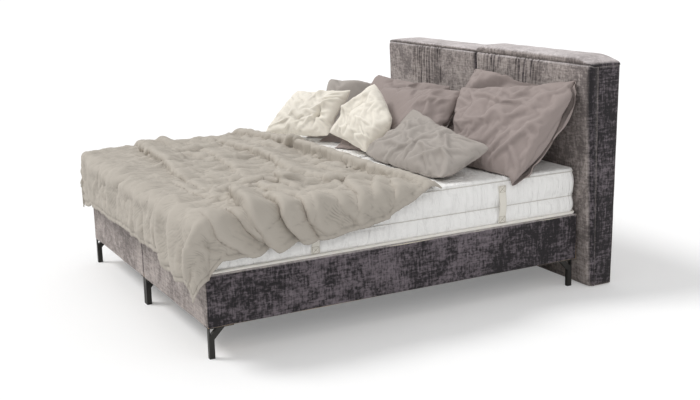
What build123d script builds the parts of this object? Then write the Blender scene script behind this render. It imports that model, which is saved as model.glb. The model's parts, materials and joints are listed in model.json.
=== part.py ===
from build123d import *
import math
import os

os.makedirs("parts", exist_ok=True)

# Upholstered double bed: two sprung bases side by side on bent tube legs, two mattresses,
# a tall padded headboard that stands behind them, and the bedding.
# The origin is on the floor under the middle of the whole bed. +X is the right side seen
# from the foot, +Y points to the head, +Z is up. Lengths are millimetres.

# Whole bed
bed_width = 1800
bed_length = 2000
seam_gap = 2
seat_gap = 0.3
duvet_reach = 70

# Bases
leg_height = 140
base_height = 235
cover_wall = 5
cover_corner_radius = 10
cover_top_bevel = 6
dust_cloth_thickness = 2
rail_thickness = 28
rail_height = 110
corner_block_width = 90
corner_block_length = 130
corner_block_height = 40
slat_count = 10
slat_width = 90
slat_thickness = 20
slat_end_gap = 1
border_thickness = 14
base_pad_thickness = 20
spring_row_count = 16
spring_row_gap = 10
spring_side_gap = 4

# Legs and their fixings
tube_width = 20
tube_depth = 25
leg_side_inset = 5
leg_seam_inset = 1
leg_foot_inset = 5
leg_head_inset = 30
leg_bend_drop = 43
leg_bend_angle = 45
leg_stay_thickness = 6.5
leg_plate_thickness = 4
leg_plate_width = 55
leg_plate_length = 118
leg_glide_height = 3
bolt_side_offset = 38
bolt_end_offset = 64
bolt_radius = 5
bolt_head_radius = 9
bolt_head_height = 5
hole_clearance = 0.1
bolt_end_gap = 2
link_length = 160
link_width = 40
link_thickness = 4
link_shares = (0.5,)
link_screw_radius = 2.5
link_screw_head_radius = 5
link_screw_head_height = 3
link_screw_length = 30

# Mattresses
mattress_inset = 5
mattress_corner_radius = 40
lower_band_height = 95
upper_band_height = 125
top_panel_height = 20
top_panel_bevel = 14
band_edge_bevel = 9
border_quilt = 22
top_panel_wall = 4
base_cloth_thickness = 2
foam_thickness = 30
handle_width = 45
handle_thickness = 2
handle_end_gap = 14
handle_shares = (0.2625, 0.7675)

# Headboard
headboard_width = 1950
headboard_glide = 5
headboard_body_top = 1130
headboard_gap = 20
headboard_depth = 142
headboard_rake = 28
headboard_lean = 34
pad_back_offset = 52
panel_thickness = 8
side_panel_thickness = 8
back_cover_thickness = 4
pad_crown = 12
pad_end_crown = 1
pad_crown_start = 25
pad_outer_radius = 30
pad_seam_radius = 14
post_width = 45
centre_post_width = 60
bottom_rail_height = 60
bolt_rail_low = 175
bolt_rail_high = 255
middle_rail_low = 555
middle_rail_high = 600
top_rail_height = 45
crown_height = 36
crown_lip = 6
crown_end_height = 10
crown_end_length = 130
spacer_size = 40
bolt_pocket = 30
headboard_bolt_height = 215
headboard_bolt_seat = 50
nut_height = 6.5
headboard_bolt_shares = (-0.78, -0.33, 0.33, 0.78)
headboard_glide_size = 30
headboard_glide_shares = (-0.9, -0.3, 0.3, 0.9)

# Duvet
duvet_side_gap = 9
duvet_foot_gap = 4
duvet_thickness = 34
duvet_side_thickness = 42
duvet_hem_thickness = 14
duvet_hem_round = 50
duvet_fold_height = 50
duvet_fold_width = 55
duvet_side_fall = 8
duvet_foot_fall = 14
duvet_foot_fall_length = 110

# Pillows and cushions
pillow_width = 700
pillow_height = 480
pillow_thickness = 165
cushion_side = 470
cushion_thickness = 150
pillow_edge_thickness = 7
pillow_side_limit = 945

overall_length = duvet_reach + bed_length + headboard_gap + headboard_depth + headboard_rake
foot_y = duvet_reach - overall_length / 2
head_y = foot_y + bed_length
base_top = leg_height + base_height
rail_top = leg_height + rail_height
mattress_top = base_top + lower_band_height + upper_band_height + top_panel_height
top_seam_z = mattress_top - top_panel_height
mid_seam_z = base_top + lower_band_height

# A right-hand base runs from the seam to the outer face
base_low_x = seam_gap / 2
base_high_x = bed_width / 2
frame_inset = cover_wall + rail_thickness


def finish(piece, name):
    """Name a finished piece and write it."""
    piece.part.label = name
    export_step(piece.part, f"parts/{name}.step")


def finish_pair(piece, name):
    """Write a right-hand piece and its mirror image on the left."""
    finish(piece, f"{name}_right")
    with BuildPart() as twin:
        mirror(piece.part, about=Plane.YZ)
    finish(twin, f"{name}_left")


def block(low, high, mode=Mode.ADD):
    """Box between two opposite corners."""
    size = [h - l for l, h in zip(low, high)]
    middle = [(h + l) / 2 for l, h in zip(low, high)]
    with Locations(tuple(middle)):
        Box(*size, mode=mode)


def slab(low, high, radius, mode=Mode.ADD):
    """Box between two opposite corners, with round vertical edges."""
    with BuildSketch(Plane.XY.offset(low[2])) as outline:
        with Locations(((low[0] + high[0]) / 2, (low[1] + high[1]) / 2)):
            RectangleRounded(high[0] - low[0], high[1] - low[1], radius)
    extrude(outline.sketch, amount=high[2] - low[2], mode=mode)


def rod(start, direction, radius, length, mode=Mode.ADD):
    """Round bar from a point along a direction."""
    with Locations(Plane(origin=start, z_dir=direction).location):
        Cylinder(radius, length, align=(Align.CENTER, Align.CENTER, Align.MIN), mode=mode)


def hex_head(start, direction, radius, height):
    """Six-sided bolt head from a point along a direction."""
    with BuildSketch(Plane(origin=start, z_dir=direction)) as outline:
        RegularPolygon(radius, 6)
    extrude(outline.sketch, amount=height)


def base_block(inset, low_z, high_z, mode=Mode.ADD):
    """Box of the right-hand base, drawn in by an inset."""
    block(
        (base_low_x + inset, foot_y + inset, low_z),
        (base_high_x - inset, head_y - inset, high_z),
        mode,
    )


# Places of the legs of the right-hand base: edge, and which way the plate runs from it
leg_columns = {
    "outer": (base_high_x - leg_side_inset, -1),
    "inner": (base_low_x + leg_seam_inset, 1),
}
leg_rows = {
    "foot": (foot_y + leg_foot_inset, 1),
    "head": (head_y - leg_head_inset, -1),
}


def leg_bolt_point(edge_x, side, edge_y, end):
    """Where the bolt of one leg stands."""
    return (edge_x + side * bolt_side_offset, edge_y + end * bolt_end_offset)


all_leg_bolts = [
    leg_bolt_point(edge_x, side, edge_y, end)
    for edge_x, side in leg_columns.values()
    for edge_y, end in leg_rows.values()
]
link_rows = [foot_y + share * bed_length for share in link_shares]
link_screw_x = base_low_x + cover_wall + rail_thickness / 2


def underside_holes(low_z, high_z):
    """Holes for the leg bolts and link screws of the right-hand base."""
    for x, y in all_leg_bolts:
        rod((x, y, low_z), (0, 0, 1), bolt_radius + hole_clearance, high_z - low_z, Mode.SUBTRACT)
    for y in link_rows:
        start = (link_screw_x, y, low_z)
        rod(start, (0, 0, 1), link_screw_radius + hole_clearance, high_z - low_z, Mode.SUBTRACT)


headboard_bolt_x = [share * base_high_x for share in headboard_bolt_shares]


def headboard_holes(low_y, high_y, radius=bolt_radius + hole_clearance):
    """Holes along the bed for the headboard bolts."""
    for x in headboard_bolt_x:
        start = (x, low_y, headboard_bolt_height)
        rod(start, (0, 1, 0), radius, high_y - low_y, Mode.SUBTRACT)


# Base cover: board and cloth shell, open underneath
with BuildPart() as base_cover:
    slab(
        (base_low_x, foot_y, leg_height), (base_high_x, head_y, base_top), cover_corner_radius
    )
    chamfer(base_cover.faces().sort_by(Axis.Z)[-1].edges(), cover_top_bevel)
    base_block(cover_wall, leg_height, base_top - cover_wall, Mode.SUBTRACT)
    headboard_holes(head_y - cover_wall, head_y)
finish_pair(base_cover, "base_cover")

# Timber frame: rails on edge and a block in each corner
frame_low_x = base_low_x + frame_inset
frame_high_x = base_high_x - frame_inset
frame_foot_y = foot_y + frame_inset
frame_head_y = head_y - frame_inset
block_top = leg_height + corner_block_height
with BuildPart() as base_frame:
    base_block(cover_wall, leg_height, rail_top)
    base_block(frame_inset, leg_height, rail_top, Mode.SUBTRACT)
    for low_x in (frame_low_x, frame_high_x - corner_block_width):
        for low_y in (frame_foot_y, frame_head_y - corner_block_length):
            block(
                (low_x, low_y, leg_height),
                (low_x + corner_block_width, low_y + corner_block_length, block_top),
            )
    underside_holes(leg_height, block_top)
    headboard_holes(head_y - frame_inset, head_y - cover_wall)
finish_pair(base_frame, "base_frame")

# Dust cloth, tacked inside the rails and round the corner blocks
with BuildPart() as base_dust_cloth:
    cloth_top = leg_height + dust_cloth_thickness
    base_block(frame_inset, leg_height, cloth_top)
    for low_x in (frame_low_x, frame_high_x - corner_block_width):
        for low_y in (frame_foot_y, frame_head_y - corner_block_length):
            block(
                (low_x, low_y, leg_height),
                (low_x + corner_block_width, low_y + corner_block_length, cloth_top),
                Mode.SUBTRACT,
            )
finish_pair(base_dust_cloth, "base_dust_cloth")

# Slats across the frame
border_inset = cover_wall + border_thickness
slat_low_x = base_low_x + border_inset + slat_end_gap
slat_high_x = base_high_x - border_inset - slat_end_gap
slat_pitch = (bed_length - 2 * border_inset - slat_width - 2 * slat_end_gap) / (slat_count - 1)
with BuildPart() as base_slats:
    for index in range(slat_count):
        low_y = foot_y + border_inset + slat_end_gap + index * slat_pitch
        block(
            (slat_low_x, low_y, rail_top),
            (slat_high_x, low_y + slat_width, rail_top + slat_thickness),
        )
finish_pair(base_slats, "base_slats")

# Foam border round the springs
pad_low_z = base_top - cover_wall - base_pad_thickness
with BuildPart() as base_border:
    base_block(cover_wall, rail_top, pad_low_z)
    base_block(border_inset, rail_top, pad_low_z, Mode.SUBTRACT)
finish_pair(base_border, "base_border")


def spring_rows(low, high):
    """Rows of wrapped springs, each a plain bar across the bed."""
    pitch = (high[1] - low[1] + spring_row_gap) / spring_row_count
    for index in range(spring_row_count):
        low_y = low[1] + index * pitch
        block((low[0], low_y, low[2]), (high[0], low_y + pitch - spring_row_gap, high[2]))


# Springs of the base
with BuildPart() as base_springs:
    spring_rows(
        (slat_low_x, foot_y + border_inset + slat_end_gap, rail_top + slat_thickness),
        (slat_high_x, head_y - border_inset - slat_end_gap, pad_low_z),
    )
finish_pair(base_springs, "base_springs")

# Pad over the springs of the base
with BuildPart() as base_pad:
    base_block(cover_wall, pad_low_z, base_top - cover_wall)
finish_pair(base_pad, "base_pad")

# Legs: upright tube, bent inwards to an arm, with a slim stay and a top plate
leg_top = leg_height - leg_plate_thickness
bend_outer_z = leg_height - leg_bend_drop
bend_inner_z = bend_outer_z - tube_depth * math.tan(math.radians(leg_bend_angle / 2))


def leg(edge_x, side, edge_y, end):
    """One leg, which stands at its edges and leans into the base."""
    profile = Plane(origin=(edge_x, edge_y, 0), x_dir=(0, end, 0), z_dir=(end, 0, 0))
    with BuildPart() as piece:
        with BuildSketch(profile):
            with BuildLine():
                Polyline(
                    (0, leg_glide_height),
                    (0, leg_top),
                    (leg_stay_thickness, leg_top),
                    (leg_stay_thickness, bend_outer_z + leg_stay_thickness),
                    (leg_top - bend_outer_z, leg_top),
                    (tube_depth + leg_top - bend_inner_z, leg_top),
                    (tube_depth, bend_inner_z),
                    (tube_depth, leg_glide_height),
                    close=True,
                )
            make_face()
        extrude(amount=tube_width * side * end)
        far_x = edge_x + side * leg_plate_width
        far_y = edge_y + end * leg_plate_length
        block(
            (min(edge_x, far_x), min(edge_y, far_y), leg_top),
            (max(edge_x, far_x), max(edge_y, far_y), leg_height),
        )
        x, y = leg_bolt_point(edge_x, side, edge_y, end)
        hole_radius = bolt_radius + hole_clearance
        rod((x, y, leg_top), (0, 0, 1), hole_radius, leg_plate_thickness, Mode.SUBTRACT)
    return piece


for column, (edge_x, side) in leg_columns.items():
    for row, (edge_y, end) in leg_rows.items():
        right_leg = leg(edge_x, side, edge_y, end)
        finish(right_leg, f"leg_{row}_{column}_right")
        with BuildPart() as left_leg:
            mirror(right_leg.part, about=Plane.YZ)
        finish(left_leg, f"leg_{row}_{column}_left")

# Glides under the legs
with BuildPart() as leg_glides:
    for edge_x, side in leg_columns.values():
        for edge_y, end in leg_rows.values():
            far_x = edge_x + side * tube_width
            far_y = edge_y + end * tube_depth
            block(
                (min(edge_x, far_x), min(edge_y, far_y), 0),
                (max(edge_x, far_x), max(edge_y, far_y), leg_glide_height),
            )
    mirror(about=Plane.YZ)
finish(leg_glides, "leg_glides")

# Leg bolts, from under the plate up into the corner blocks
bolt_tip_z = block_top - bolt_end_gap
with BuildPart() as leg_bolts:
    for x, y in all_leg_bolts:
        hex_head((x, y, leg_top - bolt_head_height), (0, 0, 1), bolt_head_radius, bolt_head_height)
        rod((x, y, leg_top), (0, 0, 1), bolt_radius, bolt_tip_z - leg_top)
    mirror(about=Plane.YZ)
finish(leg_bolts, "leg_bolts")

# Straps that hold the two bases together under the seam
with BuildPart() as base_links:
    for y in link_rows:
        block(
            (-link_length / 2, y - link_width / 2, leg_height - link_thickness),
            (link_length / 2, y + link_width / 2, leg_height),
        )
        for x in (-link_screw_x, link_screw_x):
            start = (x, y, leg_height - link_thickness)
            hole_radius = link_screw_radius + hole_clearance
            rod(start, (0, 0, 1), hole_radius, link_thickness, Mode.SUBTRACT)
finish(base_links, "base_links")

with BuildPart() as base_link_screws:
    head_low_z = leg_height - link_thickness - link_screw_head_height
    for y in link_rows:
        for x in (-link_screw_x, link_screw_x):
            head_start = (x, y, head_low_z)
            hex_head(head_start, (0, 0, 1), link_screw_head_radius, link_screw_head_height)
            start = (x, y, leg_height - link_thickness)
            rod(start, (0, 0, 1), link_screw_radius, link_screw_length)
finish(base_link_screws, "base_link_screws")

# Mattress outline of the right-hand side
mattress_high_x = base_high_x - mattress_inset
mattress_low_y = foot_y + mattress_inset
mattress_high_y = head_y - mattress_inset


def mattress_slab(low_z, high_z):
    """Right-hand mattress outline with round corners."""
    low = (base_low_x, mattress_low_y, low_z)
    high = (mattress_high_x, mattress_high_y, high_z)
    slab(low, high, mattress_corner_radius)


def mattress_core(low_z, high_z, mode=Mode.ADD):
    """Box inside the quilted cover of the right-hand mattress."""
    low = (base_low_x + border_quilt, mattress_low_y + border_quilt, low_z)
    high = (mattress_high_x - border_quilt, mattress_high_y - border_quilt, high_z)
    block(low, high, mode)


# The two quilted bands and the crowned top panel of the mattress cover
with BuildPart() as lower_band:
    mattress_slab(base_top, mid_seam_z)
    chamfer(lower_band.faces().sort_by(Axis.Z)[-1].edges(), band_edge_bevel)
with BuildPart() as upper_band:
    mattress_slab(mid_seam_z, top_seam_z)
    chamfer(upper_band.faces().filter_by(Axis.Z).edges(), band_edge_bevel)
with BuildPart() as top_panel:
    mattress_slab(top_seam_z, mattress_top)
    chamfer(top_panel.faces().sort_by(Axis.Z)[-1].edges(), top_panel_bevel)

# Mattress cover, pinched at the mid seam and under the top panel
with BuildPart() as mattress_cover:
    add(lower_band.part)
    add(upper_band.part)
    add(top_panel.part)
    mattress_core(base_top, mattress_top - top_panel_wall, Mode.SUBTRACT)
finish_pair(mattress_cover, "mattress_cover")

# Cloth that closes the mattress underneath
foam_low_z = base_top + base_cloth_thickness
foam_high_z = mattress_top - top_panel_wall
with BuildPart() as mattress_base_cloth:
    mattress_core(base_top, foam_low_z)
finish_pair(mattress_base_cloth, "mattress_base_cloth")

# Foam layers under and over the springs
with BuildPart() as mattress_foam:
    mattress_core(foam_low_z, foam_low_z + foam_thickness)
    mattress_core(foam_high_z - foam_thickness, foam_high_z)
finish_pair(mattress_foam, "mattress_foam")

# Springs of the mattress
spring_inset = border_quilt + spring_side_gap
with BuildPart() as mattress_springs:
    spring_rows(
        (
            base_low_x + spring_inset,
            mattress_low_y + spring_inset,
            foam_low_z + foam_thickness,
        ),
        (
            mattress_high_x - spring_inset,
            mattress_high_y - spring_inset,
            foam_high_z - foam_thickness,
        ),
    )
finish_pair(mattress_springs, "mattress_springs")

# Webbing handles on the outer side, over both bands
with BuildPart() as mattress_handles:
    for share in handle_shares:
        middle_y = foot_y + share * bed_length
        block(
            (mattress_high_x, middle_y - handle_width / 2, base_top + handle_end_gap),
            (
                mattress_high_x + handle_thickness,
                middle_y + handle_width / 2,
                top_seam_z - handle_end_gap,
            ),
        )
finish_pair(mattress_handles, "mattress_handles")

# Headboard. Its front leans forward in one plane from the floor to the crown, its back
# leans backward
headboard_half = headboard_width / 2
headboard_floor_y = head_y + headboard_gap
pad_back_y = head_y + pad_back_offset
frame_low_y = pad_back_y + panel_thickness
back_low_y = head_y + headboard_gap + headboard_depth
inner_half = headboard_half - side_panel_thickness
body_height = headboard_body_top - headboard_glide


def front_y(z):
    """Y of the headboard's front plane at a height."""
    return headboard_floor_y - headboard_lean * (z - headboard_glide) / body_height


def back_y(z):
    """Y of the headboard's back plane at a height."""
    return back_low_y + headboard_rake * (z - headboard_glide) / body_height


front_foot = Vector(0, front_y(headboard_glide), headboard_glide)
front_head = Vector(0, front_y(headboard_body_top), headboard_body_top)
front_plane = Plane(origin=front_foot, x_dir=(1, 0, 0), z_dir=(0, -body_height, -headboard_lean))


def side_profile(points, half_width):
    """Solid with one outline seen from the side, as wide as the headboard needs."""
    with BuildSketch(Plane.YZ) as outline:
        with BuildLine():
            Polyline(*points, close=True)
        make_face()
    extrude(outline.sketch, amount=half_width, both=True)


# Front pads: loft of side profiles from the seam to the outer edge, both ends rounded
# back and the part above the mattress crowned
crown_low_z = mattress_top + pad_crown_start
crown_mid_z = (crown_low_z + headboard_body_top) / 2
round_steps = 3
pad_middle_shares = (0.25, 0.5, 0.75)
crown_middle_shares = (0.9, 0.95)


def rounded_stations(low_x, high_x, low_radius, high_radius, middle_shares):
    """Places along X with how far the surface is set back there by its round ends."""
    turns = [math.pi / 2 * step / round_steps for step in range(round_steps + 1)]
    low = [(low_x + low_radius * (1 - math.sin(a)), low_radius * (1 - math.cos(a))) for a in turns]
    high = [
        (high_x - high_radius * (1 - math.sin(a)), high_radius * (1 - math.cos(a))) for a in turns
    ]
    start = low_x + low_radius
    span = high_x - high_radius - start
    middle = [(start + share * span, 0) for share in middle_shares]
    return low[::-1] + middle + high


def crown_share(x, low_x, high_x):
    """From 0 at both ends to 1 in the middle."""
    return max(0, math.sin(math.pi * (x - low_x) / (high_x - low_x))) ** 0.5


pad_low_x = seat_gap / 2
with BuildPart() as headboard_pad:
    for x, back in rounded_stations(
        pad_low_x, headboard_half, pad_seam_radius, pad_outer_radius, pad_middle_shares
    ):
        fullness = crown_share(x, pad_low_x, headboard_half)
        crown = pad_end_crown + (pad_crown - pad_end_crown) * fullness
        with BuildSketch(Plane.YZ.offset(x)):
            with BuildLine():
                Polyline(
                    (front_y(headboard_body_top) + back, headboard_body_top),
                    (pad_back_y, headboard_body_top),
                    (pad_back_y, headboard_glide),
                    (headboard_floor_y + back, headboard_glide),
                    (front_y(crown_low_z) + back, crown_low_z),
                )
                ThreePointArc(
                    (front_y(crown_low_z) + back, crown_low_z),
                    (front_y(crown_mid_z) + back - crown, crown_mid_z),
                    (front_y(headboard_body_top) + back, headboard_body_top),
                )
            make_face()
    loft(ruled=True)
    headboard_holes(head_y, pad_back_y)
finish_pair(headboard_pad, "headboard_pad")

# Crown pads on top of the headboard, domed, lower towards the outer ends
crown_back_y = back_y(headboard_body_top)
with BuildPart() as headboard_crown:
    for x, back in rounded_stations(
        pad_low_x, headboard_half, pad_seam_radius, pad_outer_radius, crown_middle_shares
    ):
        fall = min(1, (headboard_half - x) / crown_end_length)
        end_height = crown_end_height * (1 - back / (pad_outer_radius + crown_end_height))
        height = end_height + (crown_height - crown_end_height) * math.sin(math.pi / 2 * fall)
        low_y = front_y(headboard_body_top) + back
        with BuildSketch(Plane.YZ.offset(x)):
            with BuildLine():
                Polyline(
                    (low_y, headboard_body_top + crown_lip),
                    (low_y, headboard_body_top),
                    (crown_back_y, headboard_body_top),
                    (crown_back_y, headboard_body_top + crown_lip),
                )
                ThreePointArc(
                    (low_y, headboard_body_top + crown_lip),
                    ((low_y + crown_back_y) / 2, headboard_body_top + crown_lip + height),
                    (crown_back_y, headboard_body_top + crown_lip),
                )
            make_face()
    loft(ruled=True)
finish_pair(headboard_crown, "headboard_crown")

# Backing panel behind the pads
with BuildPart() as headboard_panel:
    block(
        (-inner_half, pad_back_y, headboard_glide),
        (inner_half, frame_low_y, headboard_body_top),
    )
    headboard_holes(pad_back_y, frame_low_y)
finish(headboard_panel, "headboard_panel")

# Timber frame with a sloping back, cut out between its posts and rails, with a pocket for
# each bolt head
bolt_pocket_low = headboard_bolt_height - bolt_pocket / 2
with BuildPart() as headboard_frame:
    side_profile(
        [
            (frame_low_y, headboard_glide),
            (frame_low_y, headboard_body_top),
            (crown_back_y - back_cover_thickness, headboard_body_top),
            (back_low_y - back_cover_thickness, headboard_glide),
        ],
        inner_half,
    )
    rail_edges = [
        (headboard_glide + bottom_rail_height, bolt_rail_low),
        (bolt_rail_high, middle_rail_low),
        (middle_rail_high, headboard_body_top - top_rail_height),
    ]
    for low_z, high_z in rail_edges:
        for low_x in (post_width - inner_half, centre_post_width / 2):
            window_width = inner_half - post_width - centre_post_width / 2
            block(
                (low_x, frame_low_y, low_z),
                (low_x + window_width, crown_back_y, high_z),
                Mode.SUBTRACT,
            )
    headboard_holes(frame_low_y, frame_low_y + headboard_bolt_seat)
    for x in headboard_bolt_x:
        block(
            (x - bolt_pocket / 2, frame_low_y + headboard_bolt_seat, bolt_pocket_low),
            (x + bolt_pocket / 2, crown_back_y, bolt_pocket_low + bolt_pocket),
            Mode.SUBTRACT,
        )
finish(headboard_frame, "headboard_frame")

# Cover over the back of the frame
with BuildPart() as headboard_back_cover:
    side_profile(
        [
            (back_low_y - back_cover_thickness, headboard_glide),
            (crown_back_y - back_cover_thickness, headboard_body_top),
            (crown_back_y, headboard_body_top),
            (back_low_y, headboard_glide),
        ],
        inner_half,
    )
finish(headboard_back_cover, "headboard_back_cover")

# Upholstered side panels
with BuildPart() as headboard_side_panel:
    with BuildSketch(Plane.YZ.offset(inner_half)):
        with BuildLine():
            Polyline(
                (pad_back_y, headboard_glide),
                (pad_back_y, headboard_body_top),
                (crown_back_y, headboard_body_top),
                (back_low_y, headboard_glide),
                close=True,
            )
        make_face()
    extrude(amount=side_panel_thickness)
finish_pair(headboard_side_panel, "headboard_side_panel")

# Spacers between the bases and the leaning front of the headboard
with BuildPart() as headboard_spacers:
    for x in headboard_bolt_x:
        start = (x, head_y, headboard_bolt_height)
        block(
            (x - spacer_size / 2, head_y, headboard_bolt_height - spacer_size / 2),
            (
                x + spacer_size / 2,
                head_y + headboard_gap,
                headboard_bolt_height + spacer_size / 2,
            ),
        )
        hole_radius = bolt_radius + hole_clearance
        rod(start, (0, 1, 0), hole_radius, headboard_gap, Mode.SUBTRACT)
    split(bisect_by=front_plane, keep=Keep.TOP)
finish(headboard_spacers, "headboard_spacers")

# Headboard bolts, each with a head behind the rail and a nut inside the base
with BuildPart() as headboard_bolts:
    bolt_low_y = head_y - frame_inset - nut_height
    bolt_high_y = frame_low_y + headboard_bolt_seat
    for x in headboard_bolt_x:
        start = (x, bolt_low_y, headboard_bolt_height)
        rod(start, (0, 1, 0), bolt_radius, bolt_high_y - bolt_low_y)
        seat = (x, bolt_high_y, headboard_bolt_height)
        hex_head(seat, (0, 1, 0), bolt_head_radius, bolt_head_height)
finish(headboard_bolts, "headboard_bolts")

with BuildPart() as headboard_nuts:
    for x in headboard_bolt_x:
        with BuildSketch(Plane(origin=(x, bolt_low_y, headboard_bolt_height), z_dir=(0, 1, 0))):
            RegularPolygon(bolt_head_radius, 6)
            Circle(bolt_radius + hole_clearance, mode=Mode.SUBTRACT)
        extrude(amount=nut_height)
finish(headboard_nuts, "headboard_nuts")

# Glides under the headboard
with BuildPart() as headboard_glides:
    for share in headboard_glide_shares:
        middle_y = (frame_low_y + back_low_y) / 2
        middle_x = share * headboard_half
        half = headboard_glide_size / 2
        block(
            (middle_x - half, middle_y - half, 0),
            (middle_x + half, middle_y + half, headboard_glide),
        )
finish(headboard_glides, "headboard_glides")

# Pillows and cushions. Places are shares of the bed's width and length and of the height
# of the headboard above the mattress; turns are degrees: yaw, slope and roll
pillow_sizes = {
    "pillow_far": (pillow_width * 0.88, pillow_height, pillow_thickness),
    "pillow_left_back": (pillow_width, pillow_height, pillow_thickness),
    "pillow_right_back": (pillow_width, pillow_height * 1.15, pillow_thickness),
    "pillow_right_middle": (pillow_width, pillow_height * 1.15, pillow_thickness),
    "pillow_left_front": (pillow_width, pillow_height, pillow_thickness),
    "cushion_far": (cushion_side, cushion_side, cushion_thickness),
    "cushion_middle": (cushion_side, cushion_side, cushion_thickness),
    "pillow_right_front": (pillow_width, pillow_height, pillow_thickness),
}
pillow_place_shares = {
    "pillow_far": (-0.331, 0.787, 0.213),
    "pillow_left_back": (-0.198, 0.788, 0.316),
    "pillow_right_back": (0.228, 0.906, 0.392),
    "pillow_right_middle": (0.325, 0.854, 0.359),
    "pillow_left_front": (-0.027, 0.755, 0.305),
    "cushion_far": (-0.351, 0.626, 0.326),
    "cushion_middle": (-0.061, 0.67, 0.359),
    "pillow_right_front": (0.247, 0.689, 0.204),
}
pillow_turns = {
    "pillow_far": (40, 47, 0),
    "pillow_left_back": (34, 50, 0),
    "pillow_right_back": (0, 60, 0),
    "pillow_right_middle": (12, 50, 5),
    "pillow_left_front": (17.5, 44, 2),
    "cushion_far": (24, 52, 0),
    "cushion_middle": (8, 55, 33),
    "pillow_right_front": (0, 27, -6.6),
}
# Pairs that lean on each other, the lower piece first: which of the two the face between
# them lies along, and how far from its middle as a share of its half thickness
lean_shares = [
    ("pillow_far", "pillow_left_back", "high", 0.9),
    ("pillow_left_back", "pillow_left_front", "low", 0.9),
    ("pillow_left_back", "cushion_far", "high", 0.95),
    ("pillow_right_back", "pillow_right_middle", "high", 0.85),
    ("pillow_right_middle", "pillow_right_front", "low", 0.6),
    ("pillow_left_front", "pillow_right_front", "low", 0.8),
    ("pillow_left_front", "cushion_middle", "low", 0.9),
]
# Pairs that stand side by side, left piece first: a point as shares of the bed's width
# and length, and the direction from left to right in degrees from +X
beside_pairs = [
    ("cushion_far", "pillow_left_front", (-0.218, 0.7025), 17.5),
    ("pillow_left_front", "pillow_right_back", (0.147, 0.9), 53),
    ("pillow_left_front", "pillow_right_middle", (0.153, 0.815), 19),
    ("cushion_far", "cushion_middle", (-0.2, 0.67), 12),
    ("cushion_middle", "pillow_right_front", (0.05, 0.66), -10),
]
headboard_room = headboard_body_top - mattress_top
# Half outline of a pillow as shares of its half width and half height, with drawn-in
# edges between the corners, and how its thickness falls towards the outline
outline_shares = [(1, 1), (0.5, 0.94), (-0.5, 0.94), (-1, 1), (-0.95, 0)]
dome_shares = [(0.4, 1), (0.7, 0.84), (0.9, 0.46)]


def pillow_frame(name):
    """Plane through a pillow: x along its width, z out of its face."""
    x_share, y_share, z_share = pillow_place_shares[name]
    origin = (
        x_share * bed_width,
        foot_y + y_share * bed_length,
        mattress_top + z_share * headboard_room,
    )
    yaw, slope, roll = pillow_turns[name]
    face = Plane(origin=origin).rotated((0, 0, yaw)).rotated((slope, 0, 0))
    return face.rotated((0, 0, roll))


def seat_plane(point, direction):
    """Plane that a piece keeps behind, drawn back by half a seat gap."""
    return Plane(origin=point - direction * seat_gap / 2, z_dir=direction)


def pillow_planes(name):
    """All planes that one pillow keeps behind."""
    planes = [
        Plane(origin=(0, 0, mattress_top + seat_gap), z_dir=(0, 0, -1)),
        Plane(origin=(pillow_side_limit, 0, 0), z_dir=(1, 0, 0)),
        Plane(origin=(-pillow_side_limit, 0, 0), z_dir=(-1, 0, 0)),
    ]
    lean_direction = -front_plane.z_dir
    planes.append(
        Plane(origin=front_foot - lean_direction * (pad_crown + seat_gap), z_dir=lean_direction)
    )
    for low, high, along, share in lean_shares:
        if name in (low, high):
            guide = low if along == "low" else high
            normal = pillow_frame(guide).z_dir
            half_thickness = pillow_sizes[guide][2] / 2
            offset = half_thickness * share * (1 if along == "low" else -1)
            point = pillow_frame(guide).origin + normal * offset
            planes.append(seat_plane(point, normal if name == low else -normal))
    for left, right, point_shares, turn in beside_pairs:
        if name in (left, right):
            point = Vector(point_shares[0] * bed_width, foot_y + point_shares[1] * bed_length)
            across = Vector(1, 0, 0).rotate(Axis.Z, turn)
            planes.append(seat_plane(point, across if name == left else -across))
    return planes


def pillow(name, more_planes):
    """Crowned pillow with drawn-in edges, pressed flat where it rests."""
    width, height, thickness = pillow_sizes[name]
    face = pillow_frame(name)
    half_outline = [(u * width / 2, v * height / 2) for u, v in outline_shares]
    outline = half_outline + [(-x, -y) for x, y in half_outline]
    upper = [(scale, share * thickness / 2) for scale, share in dome_shares]
    upper.append((1, pillow_edge_thickness / 2))
    lower = [(scale, -level) for scale, level in reversed(upper)]
    rings = [
        [face.from_local_coords((scale * x, scale * y, level)) for x, y in outline]
        for scale, level in upper + lower
    ]
    facets = [rings[0], rings[-1]]
    for above, below in zip(rings, rings[1:]):
        for index in range(len(outline)):
            facets.append((above[index - 1], above[index], below[index], below[index - 1]))
    shell = Shell([Face(Wire.make_polygon(corners)) for corners in facets])
    with BuildPart() as piece:
        add(Solid(shell))
        for plane in pillow_planes(name) + more_planes:
            split(bisect_by=plane, keep=Keep.BOTTOM)
    return piece


# The duvet's head edge is one slanting upright plane, and the front cushions keep
# behind it
duvet_edge_shares = (0.535, 0.06)
duvet_edge_point = Vector(0, foot_y + duvet_edge_shares[0] * bed_length)
duvet_edge_direction = Vector(-duvet_edge_shares[1], 1, 0).normalized()
front_pieces = ("cushion_far", "cushion_middle", "pillow_right_front")
for name in pillow_sizes:
    edge_planes = []
    if name in front_pieces:
        edge_planes.append(seat_plane(duvet_edge_point, -duvet_edge_direction))
    finish(pillow(name, edge_planes), name)

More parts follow.
